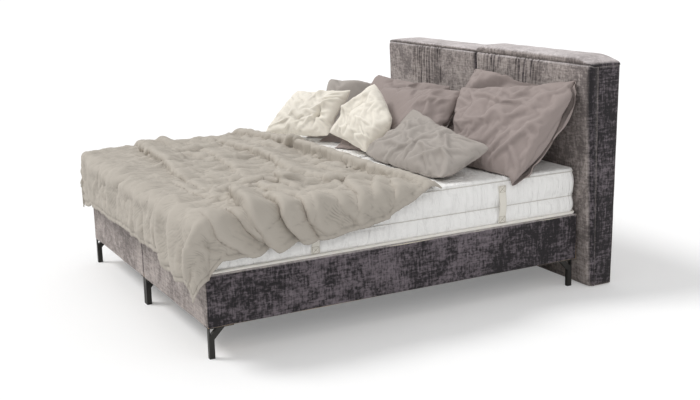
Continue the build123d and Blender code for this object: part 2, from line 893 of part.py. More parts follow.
# Duvet: upright sections across the bed give its top and its hanging sides. Heights of
# the two hems are shares of the mattress top at shares of the duvet's length on the bed
duvet_inner_x = base_high_x + duvet_side_gap
duvet_outer_x = duvet_inner_x + duvet_side_thickness
duvet_low_z = mattress_top + seat_gap
duvet_foot_y = foot_y - duvet_foot_gap
near_hem_shares = [
    (0, 0.74),
    (0.11, 0.725),
    (0.23, 0.74),
    (0.35, 0.78),
    (0.55, 0.785),
    (0.68, 0.82),
    (0.75, 0.86),
    (0.85, 0.95),
    (1, 0.985),
]
far_hem_shares = [(0, 0.7), (0.11, 0.75), (0.35, 0.74), (0.6, 0.76), (0.8, 0.77), (1, 0.9)]
across_shares = (-0.955, -0.8, -0.64, -0.48, -0.32, -0.16, 0, 0.16, 0.32, 0.46, 0.58, 0.7, 0.82, 0.955)
station_count = 22
duvet_end_share = 0.6
# Main folds: places of the crest as shares of half the bed's width and of its length, then
# the fold's height and its widths towards the foot and the head, as shares of the full ones
fold_shares = [
    ([(-1, 0.16), (-0.6, 0.143), (-0.26, 0.135), (0.18, 0.1)], 1, 0.6, 1.1),
    ([(0.71, 0.147), (0.96, 0.12), (1.08, 0.11)], 0.9, 0.6, 1),
    ([(-0.73, 0.365), (-0.27, 0.385), (0.03, 0.378), (0.4, 0.35)], 0.9, 0.7, 1),
    ([(-1, 0.49), (-0.13, 0.493), (0.31, 0.5), (0.78, 0.54), (1, 0.545)], 1.1, 1, 1),
    ([(0.32, 0.32), (0.5, 0.295), (0.64, 0.278)], 0.7, 0.4, 1),
    ([(0.28, 0.355), (0.5, 0.37), (0.67, 0.385), (0.74, 0.46)], 0.5, 0.8, 1),
    ([(0.49, 0.18), (0.5, 0.24), (0.63, 0.33)], 0.45, 0.6, 1),
    ([(0.79, 0.408), (1.03, 0.38), (1.17, 0.36)], 0.56, 0.6, 0.9),
    ([(0.61, 0.22), (0.89, 0.23), (1.08, 0.25), (1.2, 0.28)], 0.5, 0.6, 1),
    ([(-0.56, 0.28), (-0.22, 0.27), (0.11, 0.25), (0.33, 0.23)], 0.45, 0.6, 1),
]


def hump(distance, width):
    """Bell curve, 1 at its middle."""
    return math.exp(-((distance / width) ** 2))


def fold_rise(x, y):
    """How much the folds lift the duvet at one place."""
    rise = 0
    for crest_shares, height_share, foot_share, head_share in fold_shares:
        crest = [(u * base_high_x, foot_y + v * bed_length) for u, v in crest_shares]
        best = None
        for (x0, y0), (x1, y1) in zip(crest, crest[1:]):
            along = ((x - x0) * (x1 - x0) + (y - y0) * (y1 - y0)) / ((x1 - x0) ** 2 + (y1 - y0) ** 2)
            along = min(1, max(0, along))
            apart = math.dist((x, y), (x0 + along * (x1 - x0), y0 + along * (y1 - y0)))
            if best is None or apart < best:
                best = apart
                on_head_side = (x1 - x0) * (y - y0) > (y1 - y0) * (x - x0)
        width = duvet_fold_width * (head_share if on_head_side else foot_share)
        rise += duvet_fold_height * height_share * hump(best, width)
    return rise


def duvet_top(x, y):
    """Height of the duvet's upper side."""
    z = duvet_low_z + duvet_thickness - duvet_side_fall * (x / duvet_outer_x) ** 2
    z -= duvet_foot_fall * hump(y - duvet_foot_y, duvet_foot_fall_length)
    return z + fold_rise(x, y)


def share_between(table, share):
    """Value of a table of (place, value) shares at a place, on straight lines."""
    for (low, low_value), (high, high_value) in zip(table, table[1:]):
        if share <= high:
            return low_value + (high_value - low_value) * (share - low) / (high - low)
    return table[-1][1]


def hanging_side(side, y, hem_z):
    """Points down one side of the duvet, from its top edge to the inner hem."""
    shoulder_z = duvet_top(side * duvet_outer_x, y) - duvet_side_thickness / 2
    hem_x = duvet_inner_x + duvet_hem_thickness
    round_z = min(hem_z + duvet_hem_round, (hem_z + shoulder_z) / 2)
    return [
        (side * duvet_outer_x, y, shoulder_z),
        (side * duvet_outer_x, y, round_z),
        (side * hem_x, y, hem_z),
        (side * duvet_inner_x, y, hem_z),
    ]


def faceted(sections):
    """Solid with straight facets between closed outlines of equally many points."""
    facets = [sections[0], sections[-1]]
    for near, far in zip(sections, sections[1:]):
        for index in range(len(near)):
            facets.append((near[index - 1], near[index], far[index - 1]))
            facets.append((near[index], far[index], far[index - 1]))
    return Solid(Shell([Face(Wire.make_polygon(corners)) for corners in facets]))


duvet_sections = []
for station in range(station_count):
    share = station / (station_count - 1)
    y = duvet_foot_y + share * duvet_end_share * bed_length
    top = [(u * duvet_outer_x, y, duvet_top(u * duvet_outer_x, y)) for u in across_shares]
    near = hanging_side(1, y, share_between(near_hem_shares, share) * mattress_top)
    far = hanging_side(-1, y, share_between(far_hem_shares, share) * mattress_top)
    under = [(duvet_inner_x, y, duvet_low_z), (-duvet_inner_x, y, duvet_low_z)]
    duvet_sections.append(top + near + under + far[::-1])
with BuildPart() as duvet_body:
    add(faceted(duvet_sections))
    edge_plane = seat_plane(duvet_edge_point, duvet_edge_direction)
    split(bisect_by=edge_plane, keep=Keep.BOTTOM)

# The part of the duvet that hangs over the foot. For each place across the bed: how far
# it stands out, as a share of its reach, and its hem as a share of the mattress top
foot_hem_shares = [
    (-1, 0.5, 0.6),
    (-0.92, 0.8, 0.53),
    (-0.86, 0.9, 0.49),
    (-0.77, 0.75, 0.6),
    (-0.6, 0.9, 0.637),
    (-0.42, 0.7, 0.625),
    (-0.2, 0.85, 0.64),
    (0, 0.7, 0.63),
    (0.2, 0.95, 0.637),
    (0.4, 0.7, 0.63),
    (0.52, 0.85, 0.62),
    (0.6, 1, 0.57),
    (0.66, 0.8, 0.53),
    (0.75, 1, 0.47),
    (0.87, 0.75, 0.486),
    (1, 0.9, 0.5),
]
duvet_foot_reach = duvet_reach - duvet_foot_gap
foot_sections = []
for x_share, reach_share, hem_share in foot_hem_shares:
    x = x_share * duvet_outer_x
    reach = reach_share * duvet_foot_reach
    hem_z = hem_share * mattress_top
    top_z = duvet_top(0, duvet_foot_y)
    drop = top_z - hem_z
    foot_sections.append(
        [
            (x, duvet_foot_y, hem_z),
            (x, duvet_foot_y, top_z - duvet_thickness / 4),
            (x, duvet_foot_y - reach * 0.35, top_z - drop * 0.06),
            (x, duvet_foot_y - reach * 0.75, top_z - drop * 0.2),
            (x, duvet_foot_y - reach, top_z - drop * 0.45),
            (x, duvet_foot_y - reach * 0.9, top_z - drop * 0.8),
            (x, duvet_foot_y - duvet_hem_thickness, hem_z),
        ]
    )

with BuildPart() as duvet:
    add(duvet_body.part)
    add(faceted(foot_sections))
finish(duvet, "duvet")
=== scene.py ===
import json
import math

import bmesh
import bpy
import numpy as np
from mathutils import Matrix, Vector, noise


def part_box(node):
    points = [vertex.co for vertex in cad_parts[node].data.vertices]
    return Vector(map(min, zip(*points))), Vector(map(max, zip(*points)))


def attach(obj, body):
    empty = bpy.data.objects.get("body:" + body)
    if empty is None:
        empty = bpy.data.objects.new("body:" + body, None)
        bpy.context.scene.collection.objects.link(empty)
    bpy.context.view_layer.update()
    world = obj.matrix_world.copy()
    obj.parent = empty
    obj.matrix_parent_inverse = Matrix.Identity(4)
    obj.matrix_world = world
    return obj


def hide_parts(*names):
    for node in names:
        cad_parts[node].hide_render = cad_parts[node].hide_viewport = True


# The dressed double bed: velvet bases and headboard, two quilted mattresses, a crumpled
# duvet, six pillows and two cushions. Lengths are metres, in the frame of the CAD model:
# +X is the right side seen from the foot, +Y points to the head, +Z is up.

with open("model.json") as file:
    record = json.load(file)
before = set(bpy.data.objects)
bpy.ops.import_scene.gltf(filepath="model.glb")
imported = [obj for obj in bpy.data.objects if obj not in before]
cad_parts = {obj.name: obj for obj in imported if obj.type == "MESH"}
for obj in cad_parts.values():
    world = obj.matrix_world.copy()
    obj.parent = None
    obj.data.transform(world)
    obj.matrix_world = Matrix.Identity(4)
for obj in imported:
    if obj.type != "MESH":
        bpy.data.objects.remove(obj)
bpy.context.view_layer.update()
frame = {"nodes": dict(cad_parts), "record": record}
scene = bpy.context.scene
SEED = 7

# Camera, fitted to the photograph
CAMERA_PLACE = Vector((5.139, -2.577, 1.719))
CAMERA_AZIMUTH = 62.34
CAMERA_TILT = 12.0
CAMERA_ROLL = -1.5
PHOTO_WIDTH = 700
PHOTO_HEIGHT = 400
FOCAL_PIXELS = 1097.6
OPTICAL_ROW = 181.1
SENSOR_WIDTH = 36

# Sizes read off the frame
base_low, base_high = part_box("base_cover_right")
mattress_low, mattress_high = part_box("mattress_cover_right")
pad_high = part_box("headboard_pad_right")[1]
FOOT_Y = base_low.y
HEAD_Y = base_high.y
BED_WIDTH = 2 * base_high.x
BED_LENGTH = HEAD_Y - FOOT_Y
MATTRESS_TOP = mattress_high.z
# The two halves of the bed: name and sign of X
SIDES = (("right", 1), ("left", -1))
# Signs of x and y at the four corners of a rectangle, in turn from the lower left one
CORNERS = ((-1, -1), (1, -1), (1, 1), (-1, 1))


def camera_axes():
    """The camera's right, up and backward directions."""
    azimuth = math.radians(CAMERA_AZIMUTH)
    tilt = math.radians(CAMERA_TILT)
    level = math.cos(tilt)
    back = Vector((math.sin(azimuth) * level, -math.cos(azimuth) * level, math.sin(tilt)))
    right = (-back).cross(Vector((0, 0, 1))).normalized()
    up = back.cross(right)
    roll = math.radians(CAMERA_ROLL)
    turned_right = right * math.cos(roll) + up * math.sin(roll)
    turned_up = up * math.cos(roll) - right * math.sin(roll)
    return turned_right, turned_up, back


def photo_ray(pixel):
    """Direction in which the camera sees one pixel of the photograph."""
    right, up, back = camera_axes()
    aside = (pixel[0] - PHOTO_WIDTH / 2) / FOCAL_PIXELS
    above = (OPTICAL_ROW - pixel[1]) / FOCAL_PIXELS
    return (right * aside + up * above - back).normalized()


# Materials


def srgb(*colour):
    """Linear colour from red, green and blue written in 0 to 255."""
    shares = [c / 255 for c in colour]
    linear = [c / 12.92 if c <= 0.04045 else ((c + 0.055) / 1.055) ** 2.4 for c in shares]
    return (*linear, 1)


class NodeTree:
    """Short way to add nodes and link them."""

    def __init__(self, tree):
        self.tree = tree

    def node(self, kind, inputs=None, **values):
        """New node; each of its inputs is a plain value or another node's output."""
        made = self.tree.nodes.new(kind)
        for key, value in values.items():
            setattr(made, key, value)
        for key, value in (inputs or {}).items():
            if isinstance(value, bpy.types.NodeSocket):
                self.link(value, made.inputs[key])
            else:
                made.inputs[key].default_value = value
        return made

    def link(self, output, target):
        self.tree.links.new(output, target)

    def range(self, value, low, high, to_low=0.0, to_high=1.0):
        """Value mapped from one range to another, clamped."""
        source = {"Value": value, "From Min": low, "From Max": high}
        goal = {"To Min": to_low, "To Max": to_high}
        return self.node("ShaderNodeMapRange", source | goal).outputs["Result"]

    def math(self, operation, first, second):
        return self.node("ShaderNodeMath", {0: first, 1: second}, operation=operation).outputs[0]

    def mix(self, factor, first, second):
        """Colour mix; a side is a colour or an output."""
        inputs = {0: factor, 6: first, 7: second}
        return self.node("ShaderNodeMix", inputs, data_type="RGBA").outputs[2]


class Finish(NodeTree):
    """One material with its shader and the coordinates of the object."""

    def __init__(self, name, roughness, metallic=0.0):
        self.material = bpy.data.materials.new(name)
        self.material.use_nodes = True
        super().__init__(self.material.node_tree)
        self.shader = self.tree.nodes["Principled BSDF"]
        self.set({"Roughness": roughness, "Metallic": metallic})
        coordinates = self.node("ShaderNodeTexCoord")
        self.place = coordinates.outputs["Object"]
        self.facing = coordinates.outputs["Normal"]

    def set(self, values):
        """Set values on the shader itself."""
        for key, value in values.items():
            self.shader.inputs[key].default_value = value

    def stretched(self, scale, turn=(0, 0, 0)):
        """Object coordinates, turned and stretched."""
        turns = tuple(math.radians(a) for a in turn)
        inputs = {"Scale": scale, "Rotation": turns, "Vector": self.place}
        return self.node("ShaderNodeMapping", inputs).outputs["Vector"]

    def noise(self, scale, detail=3.0, vector=None, distortion=0.0, roughness=0.5, kind="FBM"):
        inputs = {"Scale": scale, "Detail": detail, "Distortion": distortion}
        inputs |= {"Roughness": roughness, "Vector": vector or self.place}
        return self.node("ShaderNodeTexNoise", inputs, noise_type=kind).outputs["Fac"]

    def colour(self, output):
        self.link(output, self.shader.inputs["Base Color"])

    def varied(self, share, colour, low, high):
        """Colour that goes from darker to lighter with a share."""
        return self.mix(share, scaled(colour, low), scaled(colour, high))

    def bump(self, height, strength, distance):
        inputs = {"Strength": strength, "Distance": distance, "Height": height}
        made = self.node("ShaderNodeBump", inputs)
        self.link(made.outputs["Normal"], self.shader.inputs["Normal"])

    def sheen(self, weight, roughness, tint):
        self.set({"Sheen Weight": weight, "Sheen Roughness": roughness, "Sheen Tint": tint})


def scaled(colour, factor):
    """Colour made lighter or darker."""
    return tuple(min(1.0, c * factor) for c in colour[:3]) + (1,)


def speckled(name, colour, roughness, metallic=0.0, scale=60.0, bump=0.0005):
    """Plain finish with fine variation in colour and surface."""
    nodes = Finish(name, roughness, metallic)
    fine = nodes.noise(scale, 5.0)
    nodes.colour(nodes.varied(fine, colour, 0.88, 1.12))
    nodes.bump(fine, 0.4, bump)
    return nodes.material


# Level of the noise at which a slub starts, and where it is full
SLUB_RANGE = (0.44, 0.62)


def velvet(name, light, dark):
    """Crushed velvet: slubs both ways and patches of pile; painted shade on faces that look to the
    side, painted light on faces that look up.
    """
    nodes = Finish(name, 0.85)
    level = nodes.noise(1.0, 6.0, nodes.stretched((15, 15, 115)), 0.4, 0.7)
    upright = nodes.noise(1.0, 6.0, nodes.stretched((115, 115, 15)), 0.4, 0.7)
    slubs = nodes.math("ADD", nodes.range(level, *SLUB_RANGE), nodes.range(upright, *SLUB_RANGE))
    patches = nodes.range(nodes.noise(5.0, 6.0, None, 1.4, 0.65), 0.45, 0.6)
    grain = nodes.range(nodes.noise(70.0, 4.0), 0.38, 0.62)
    share = nodes.math("MULTIPLY", slubs, 0.34)
    share = nodes.math("ADD", share, nodes.math("MULTIPLY", grain, 0.3))
    share = nodes.math("SUBTRACT", share, nodes.math("MULTIPLY", patches, 0.34))
    broad = nodes.range(nodes.noise(1.8, 3.0, None, 0.8), 0.4, 0.62, -0.16, 0.16)
    share = nodes.math("ADD", share, broad)
    pile = nodes.mix(nodes.range(share, -0.12, 0.72), dark, light)
    # Painted light and shade by which way a face looks: darker on faces to the sides, lighter on faces
    # that look up
    facing = nodes.node("ShaderNodeSeparateXYZ", {0: nodes.facing}).outputs
    sideways = nodes.range(nodes.math("ABSOLUTE", facing[0], 0), 0.4, 0.85)
    upwards = nodes.range(facing[2], 0.3, 0.9)
    painted_side_shade = nodes.mix(nodes.range(share, 0.12, 0.78), PAINTED_SHADE_SIDE_DARK, PAINTED_SHADE_SIDE_LIGHT)
    painted_top_light = nodes.mix(nodes.range(share, -0.9, 0.7), dark, PAINTED_LIGHT_TOP)
    nodes.colour(nodes.mix(upwards, nodes.mix(sideways, pile, painted_side_shade), painted_top_light))
    nodes.bump(nodes.math("ADD", slubs, grain), 0.4, 0.001)
    nodes.sheen(0.3, 0.4, scaled(light, 1.5))
    return nodes.material


# Painted shade at the bottom of the cloth's folds: how light the cloth stays there, where less light
# reaches it
FOLD_SHADE_SHARE = 0.5


def cotton(name, colour, crease=0.011):
    """Washed cotton with sharp small creases, a faint weave and painted shade at the bottom of its
    folds.
    """
    nodes = Finish(name, 0.9)
    heights = []
    for scale, turn, share in ((8.0, 20, 1), (15.0, 75, 0.5), (34.0, 40, 0.22)):
        vector = nodes.stretched((1.7, 0.55, 1.0), (0, 0, turn))
        folds = nodes.noise(scale, 3.0, vector, 1.2, 0.6, "RIDGED_MULTIFRACTAL")
        heights.append(nodes.math("MULTIPLY", nodes.range(folds, 0.3, 2.2), share))
    creases = nodes.math("ADD", nodes.math("ADD", heights[0], heights[1]), heights[2])
    worn = nodes.varied(nodes.noise(4.0, 4.0), colour, 0.94, 1.1)
    # Painted shade: darker where the surface bends inward, at the bottom of folds
    bend = nodes.node("ShaderNodeNewGeometry").outputs["Pointiness"]
    nodes.colour(nodes.mix(nodes.range(bend, 0.4, 0.505), scaled(colour, FOLD_SHADE_SHARE), worn))
    weave = nodes.noise(700.0, 1.0)
    nodes.bump(nodes.math("ADD", creases, nodes.math("MULTIPLY", weave, 0.015)), 0.9, crease)
    nodes.sheen(0.15, 0.5, scaled(colour, 1.5))
    return nodes.material


def quilting(name, colour):
    """Knitted mattress cloth, with fine upright puckers between its seams."""
    nodes = Finish(name, 0.9)
    fine = nodes.noise(350.0, 5.0)
    nodes.colour(nodes.varied(fine, colour, 0.96, 1.04))
    pucker = nodes.noise(1.0, 3.0, nodes.stretched((34, 34, 5)), 0.6, 0.6)
    drawn = nodes.range(pucker, 0.35, 0.6)
    nodes.bump(nodes.math("ADD", drawn, nodes.math("MULTIPLY", fine, 0.06)), 0.8, 0.006)
    return nodes.material


def timber(name, colour):
    """Bare softwood with its grain along the bed."""
    nodes = Finish(name, 0.65)
    grain = nodes.noise(1.0, 6.0, nodes.stretched((60, 4, 60)), 0.5)
    nodes.colour(nodes.varied(grain, colour, 0.75, 1.15))
    nodes.bump(grain, 0.3, 0.0006)
    return nodes.material


# Colours of the painted shade on faces that look to the side, and of the painted light on faces that
# look up
PAINTED_SHADE_SIDE_DARK = srgb(24, 20, 24)
PAINTED_SHADE_SIDE_LIGHT = srgb(120, 111, 117)
PAINTED_LIGHT_TOP = srgb(216, 209, 209)
# Each slot: the function that makes its finish, with the colour and further values for it
MAKERS = {
    "velvet": (velvet, srgb(184, 174, 169), srgb(106, 98, 96)),
    "dust_cloth": (speckled, srgb(46, 45, 44), 0.95, 0.0, 400.0),
    "timber": (timber, srgb(200, 168, 124)),
    "foam": (speckled, srgb(224, 218, 196), 0.95, 0.0, 300.0, 0.001),
    "spring_cloth": (speckled, srgb(226, 226, 222), 0.95, 0.0, 300.0),
    "webbing": (speckled, srgb(232, 228, 218), 0.9, 0.0, 500.0),
    "mattress_cloth": (quilting, srgb(250, 249, 247)),
    "glide_plastic": (speckled, srgb(32, 32, 32), 0.6),
    "zinc_steel": (speckled, srgb(190, 190, 186), 0.35, 1.0, 120.0, 0.0001),
    "black_steel": (speckled, srgb(30, 28, 24), 0.42, 0.0, 500.0, 0.0001),
    "duvet_cloth": (cotton, srgb(180, 173, 163), 0.02),
    "cream_cloth": (cotton, srgb(234, 228, 216), 0.004),
    "greige_cloth": (cotton, srgb(165, 158, 152)),
    "mauve_cloth": (cotton, srgb(152, 140, 136)),
}
FINISHES = {slot: maker(slot, *values) for slot, (maker, *values) in MAKERS.items()}
VELVET = FINISHES["velvet"]
PIPING = speckled("piping", srgb(238, 235, 228), 0.85, scale=500.0)
# Cord of the mid and top seams, darker than the cloth as painted shade of the seam's groove
SEAM_SHADE_CORD = speckled("seam_shade_cord", srgb(208, 205, 199), 0.9, scale=500.0)
STRAP_THREAD = speckled("strap_thread", srgb(170, 162, 146), 0.9, scale=500.0)
SLOT_OF = {part["node"]: part["material_slot"] for part in frame["record"]["subparts"]}
for node, slot in SLOT_OF.items():
    carried = frame["nodes"][node].data.materials
    carried.clear()
    carried.append(FINISHES[slot])

# Mesh helpers


def add_object(name, data):
    """New object in the scene."""
    made = bpy.data.objects.new(name, data)
    scene.collection.objects.link(made)
    return made


def smooth(mesh):
    """Shade every face of a mesh smooth."""
    mesh.polygons.foreach_set("use_smooth", [True] * len(mesh.polygons))


def mesh_piece(name, points, faces, material):
    """Object from points and faces, shaded smooth."""
    mesh = bpy.data.meshes.new(name)
    mesh.from_pydata([tuple(p) for p in points], [], faces)
    mesh.materials.append(material)
    smooth(mesh)
    mesh.update()
    return add_object(name, mesh)


def grid_faces(rows, columns):
    """Quads of a grid whose point index is row * columns + column."""
    starts = [row * columns + column for row in range(rows - 1) for column in range(columns - 1)]
    return [(i, i + columns, i + columns + 1, i + 1) for i in starts]


def stacked(name, loops, material, caps=("lower", "upper")):
    """Piece from stacked closed loops of points, closed by a face at the ends named."""
    count, last = len(loops[0]), len(loops) - 1
    faces = []
    for row in range(last):
        for i in range(count):
            below, above = row * count, (row + 1) * count
            after = (i + 1) % count
            faces.append((below + i, below + after, above + after, above + i))
    if "lower" in caps:
        faces.append(tuple(range(count))[::-1])
    if "upper" in caps:
        faces.append(tuple(last * count + i for i in range(count)))
    return mesh_piece(name, np.concatenate(loops), faces, material)


def read(items, name, width=3):
    """One property of many items as an array."""
    values = np.zeros(len(items) * width)
    items.foreach_get(name, values)
    return values.reshape(-1, width) if width > 1 else values


def points_of(piece):
    """Piece's vertices as an array."""
    return read(piece.data.vertices, "co")


def set_points(piece, points):
    """Put an array back into a piece's vertices."""
    piece.data.vertices.foreach_set("co", np.asarray(points).ravel())
    piece.data.update()


def unit(values):
    """Values kept between 0 and 1."""
    return np.clip(values, 0, 1)


def bell(distance, width):
    """Bell curve over a distance, 1 at its middle."""
    return np.exp(-((distance / width) ** 2))


def grid(across, along):
    """Two coordinates of each point of a grid."""
    return [values.ravel() for values in np.meshgrid(across, along, indexing="ij")]


def direction_of(degrees):
    """Direction in the plan, turned from +X."""
    angle = math.radians(degrees)
    return np.array((math.cos(angle), math.sin(angle)))


def waves(points, scale, seed, octaves=1):
    """Smooth noise at each point, about -1 to 1."""
    values = np.zeros(len(points))
    for octave in range(octaves):
        factor = scale * 2**octave
        values += [
            noise.noise(Vector(p) * factor + Vector((seed, seed * 1.7, octave * 3.1))) / 2**octave
            for p in points
        ]
    return values


def baked(piece):
    """New mesh of a piece as it shows, with its modifiers or its bevel."""
    graph = bpy.context.evaluated_depsgraph_get()
    return bpy.data.meshes.new_from_object(piece.evaluated_get(graph))


def reshape(piece, kind, **values):
    """Run one modifier on a piece and bake it into the mesh."""
    made = piece.modifiers.new(kind.lower(), kind)
    for key, value in values.items():
        setattr(made, key, value)
    old, new = piece.data, baked(piece)
    piece.modifiers.clear()
    piece.data = new
    bpy.data.meshes.remove(old)


def thicken(piece, thickness, offset=0, **limits):
    """Give a thin piece its thickness."""
    reshape(piece, "SOLIDIFY", thickness=thickness, offset=offset, **limits)


def refine(piece):
    """Divide a piece's faces and round them."""
    reshape(piece, "SUBSURF", levels=1, render_levels=1)


def join(name, pieces):
    """One object from several, each part keeping its material."""
    built = bmesh.new()
    materials = []
    for piece in pieces:
        start = len(built.faces)
        offset = len(materials)
        materials.extend(piece.data.materials)
        built.from_mesh(piece.data)
        built.faces.ensure_lookup_table()
        for face in built.faces[start:]:
            face.material_index += offset
        mesh = piece.data
        bpy.data.objects.remove(piece)
        bpy.data.meshes.remove(mesh)
    mesh = bpy.data.meshes.new(name)
    built.to_mesh(mesh)
    built.free()
    for material in materials:
        mesh.materials.append(material)
    return add_object(name, mesh)


def tube(name, path, radius, material, closed=False, sides=6):
    """Round cord of fabric along a list of points."""
    curve = bpy.data.curves.new(name, "CURVE")
    curve.dimensions = "3D"
    curve.bevel_depth = radius
    curve.bevel_resolution = max(0, sides // 2 - 2)
    curve.use_fill_caps = not closed
    spline = curve.splines.new("POLY")
    spline.points.add(len(path) - 1)
    for point, spot in zip(spline.points, path):
        point.co = (*spot, 1)
    spline.use_cyclic_u = closed
    holder = add_object(name, curve)
    mesh = baked(holder)
    bpy.data.objects.remove(holder)
    bpy.data.curves.remove(curve)
    mesh.materials.clear()
    mesh.materials.append(material)
    smooth(mesh)
    return add_object(name, mesh)


def place(piece, body, slot, *nodes):
    """Ride on a body and stand for CAD nodes. The slot is not used."""
    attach(piece, body)
    if nodes:
        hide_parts(*nodes)


# Cloth

# Share of a half wave left off at each end of a fold, so that its ends keep some height
FOLD_END = 0.05


def weigh(piece, name, weights):
    """Group of all vertices with their weights; gives back its name."""
    group = piece.vertex_groups.new(name=name)
    for index, weight in enumerate(weights):
        group.add([index], float(weight), "REPLACE")
    return group.name


def add_cloth(piece, growth, bending, hold):
    """Cloth that grows a little, so it wrinkles; hold says how firmly each point stays."""
    cloth = piece.modifiers.new("cloth", "CLOTH")
    settings = cloth.settings
    settings.quality = 6
    settings.mass = 0.3
    settings.tension_stiffness = 15
    settings.compression_stiffness = 15
    settings.shear_stiffness = 5
    settings.bending_stiffness = bending
    settings.shrink_min = -growth
    settings.air_damping = 2
    settings.effector_weights.gravity = 0
    settings.vertex_group_mass = weigh(piece, "hold", hold)
    settings.pin_stiffness = 1


def run_cloth(pieces, frames, quick_frames):
    """Step the simulation and keep its last shape."""
    frames = frames
    for piece in pieces:
        cache = piece.modifiers["cloth"].point_cache
        cache.frame_start = 1
        cache.frame_end = frames
    for step in range(1, frames + 1):
        scene.frame_set(step)
    graph = bpy.context.evaluated_depsgraph_get()
    for piece in pieces:
        settled = points_of(piece.evaluated_get(graph))
        piece.modifiers.clear()
        set_points(piece, settled)
    scene.frame_set(1)


def fold_shape(plan, folds, lean=0.0, sharpness=2.0):
    """Height that folds add at each place of a flat cloth, and how far they lean over there."""
    height = np.zeros(len(plan))
    shift = np.zeros((len(plan), 2))
    for crest, rise, foot_width, head_width in folds:
        line = np.array(crest)
        runs = np.linalg.norm(np.diff(line, axis=0), axis=1)
        passed = np.concatenate(([0], np.cumsum(runs))) / runs.sum()
        nearest = np.full(len(plan), np.inf)
        found = np.zeros((len(plan), 4))
        for index, run in enumerate(runs):
            step = line[index + 1] - line[index]
            share = unit((plan - line[index]) @ step / run**2)
            apart = plan - line[index] - share[:, None] * step
            distance = np.linalg.norm(apart, axis=1)
            side = step[0] * apart[:, 1] - step[1] * apart[:, 0]
            along = passed[index] + share * run / runs.sum()
            footward = np.outer(np.ones(len(plan)), (step[1] / run, -step[0] / run))
            closer = distance < nearest
            nearest[closer] = distance[closer]
            found[closer] = np.column_stack([side, along, footward])[closer]
        side, along, footward = found[:, 0], found[:, 1], found[:, 2:]
        width = np.where(side > 0, head_width, foot_width)
        wave = FOLD_END + (1 - 2 * FOLD_END) * unit(along)
        taper = np.sqrt(np.sin(np.pi * wave))
        added = rise * taper * np.exp(-((nearest / width) ** sharpness))
        height += added
        shift += lean * added[:, None] * footward
    return height, shift


# Mattresses

MATTRESS_ROUND = 0.04
MATTRESS_LOW = mattress_low.z + 0.001
MID_SEAM = MATTRESS_LOW + 0.095
TOP_SEAM = MATTRESS_TOP - 0.02
WALL_STEP = 0.009
PUCKER_RISE = 0.0075
BAND_SLACK = 0.003
PANEL_INSET = 0.012
PANEL_STEP = 0.015
PANEL_ROUND = 0.007
PANEL_SOFTNESS = 0.012
UNDERSIDE_STEP = 0.06
# The top panel: stitched line inside its edge, and the spacing and depth of its diamonds
BORDER_STITCH = 0.045
DIAMOND = 0.16
QUILT_DEPTH = 0.004
HANDLE_WIDTH = 0.045
HANDLE_THICKNESS = 0.0022
HANDLE_BOW = 0.0075
HANDLE_FACE = BED_WIDTH / 2 - 0.0055
STITCH_RADIUS = 0.001
# A box with a cross in it, as shares of half its width and of its height
STITCH_PATH = ((-1, 0), (1, 1), (-1, 1), (1, 0), (-1, 0), (-1, 1), (1, 1), (1, 0))
STITCH_HEIGHT = 0.03


def rounded_walk(low, high, radius, step):
    """Points round a rectangle with round corners: place, outward direction, distance run."""
    corners = (
        (high[0] - radius, low[1] + radius, -90),
        (high[0] - radius, high[1] - radius, 0),
        (low[0] + radius, high[1] - radius, 90),
        (low[0] + radius, low[1] + radius, 180),
    )
    places, outward = [], []
    for index, (x, y, start) in enumerate(corners):
        for turn in np.linspace(start, start + 90, 9):
            direction = direction_of(turn)
            places.append(np.array((x, y)) + radius * direction)
            outward.append(direction)
        following = np.array(corners[(index + 1) % 4][:2])
        begin, end = places[-1], following + radius * direction
        count = max(2, round(np.linalg.norm(end - begin) / step))
        for share in range(1, count):
            places.append(begin + (end - begin) * share / count)
            outward.append(direction)
    places, outward = np.array(places), np.array(outward)
    runs = np.linalg.norm(np.diff(places, axis=0, append=places[:1]), axis=1)
    return places, outward, np.concatenate(([0], np.cumsum(runs)[:-1]))


def rounded_top(low, high, radius, step):
    """Grid over a rectangle with round corners: x, y, way to its edge, and faces."""
    width, length = high[0] - low[0], high[1] - low[1]
    u = np.linspace(-width / 2, width / 2, round(width / step))
    v = np.linspace(-length / 2, length / 2, round(length / step))
    x, y = grid(u, v)
    a = (np.abs(x) - (width / 2 - radius)) / radius
    b = (np.abs(y) - (length / 2 - radius)) / radius
    inside = (a > 0) & (b > 0)
    round_a = a * np.sqrt(np.maximum(0, 1 - b**2 / 2))
    round_b = b * np.sqrt(np.maximum(0, 1 - a**2 / 2))
    x = np.where(inside, np.sign(x) * (width / 2 - radius + radius * round_a), x)
    y = np.where(inside, np.sign(y) * (length / 2 - radius + radius * round_b), y)
    middle = ((low[0] + high[0]) / 2, (low[1] + high[1]) / 2)
    to_edge = np.minimum(width / 2 - np.abs(x), length / 2 - np.abs(y))
    corner = np.hypot(np.maximum(a, 0), np.maximum(b, 0)) * radius
    to_edge = np.where(inside, radius - np.minimum(corner, radius), to_edge)
    return x + middle[0], y + middle[1], np.maximum(to_edge, 0), grid_faces(len(u), len(v))


def band_profile(low, high, bulge, count):
    """Heights and outward swell of one padded band between two seams."""
    share = np.linspace(0, 1, count)
    swell = bulge * (1 - np.abs(2 * share - 1) ** 2.6)
    return list(zip(low + share * (high - low), swell))


def puckers(run, height, seed):
    """Upright creases of a quilted band."""
    places = [(a, 1.6 * height, seed) for a in run]
    fine = waves(places, 30, seed)
    broad = waves(places, 9, seed + 4)
    return PUCKER_RISE * np.maximum(0, fine) ** 1.5 + BAND_SLACK * (broad - 1)


def ring(places, outward, out, height):
    """Closed loop of points at one height, moved outward by a distance."""
    plan = places + outward * np.reshape(out * np.ones(len(places)), (-1, 1))
    return np.column_stack([plan, np.full(len(places), height)])


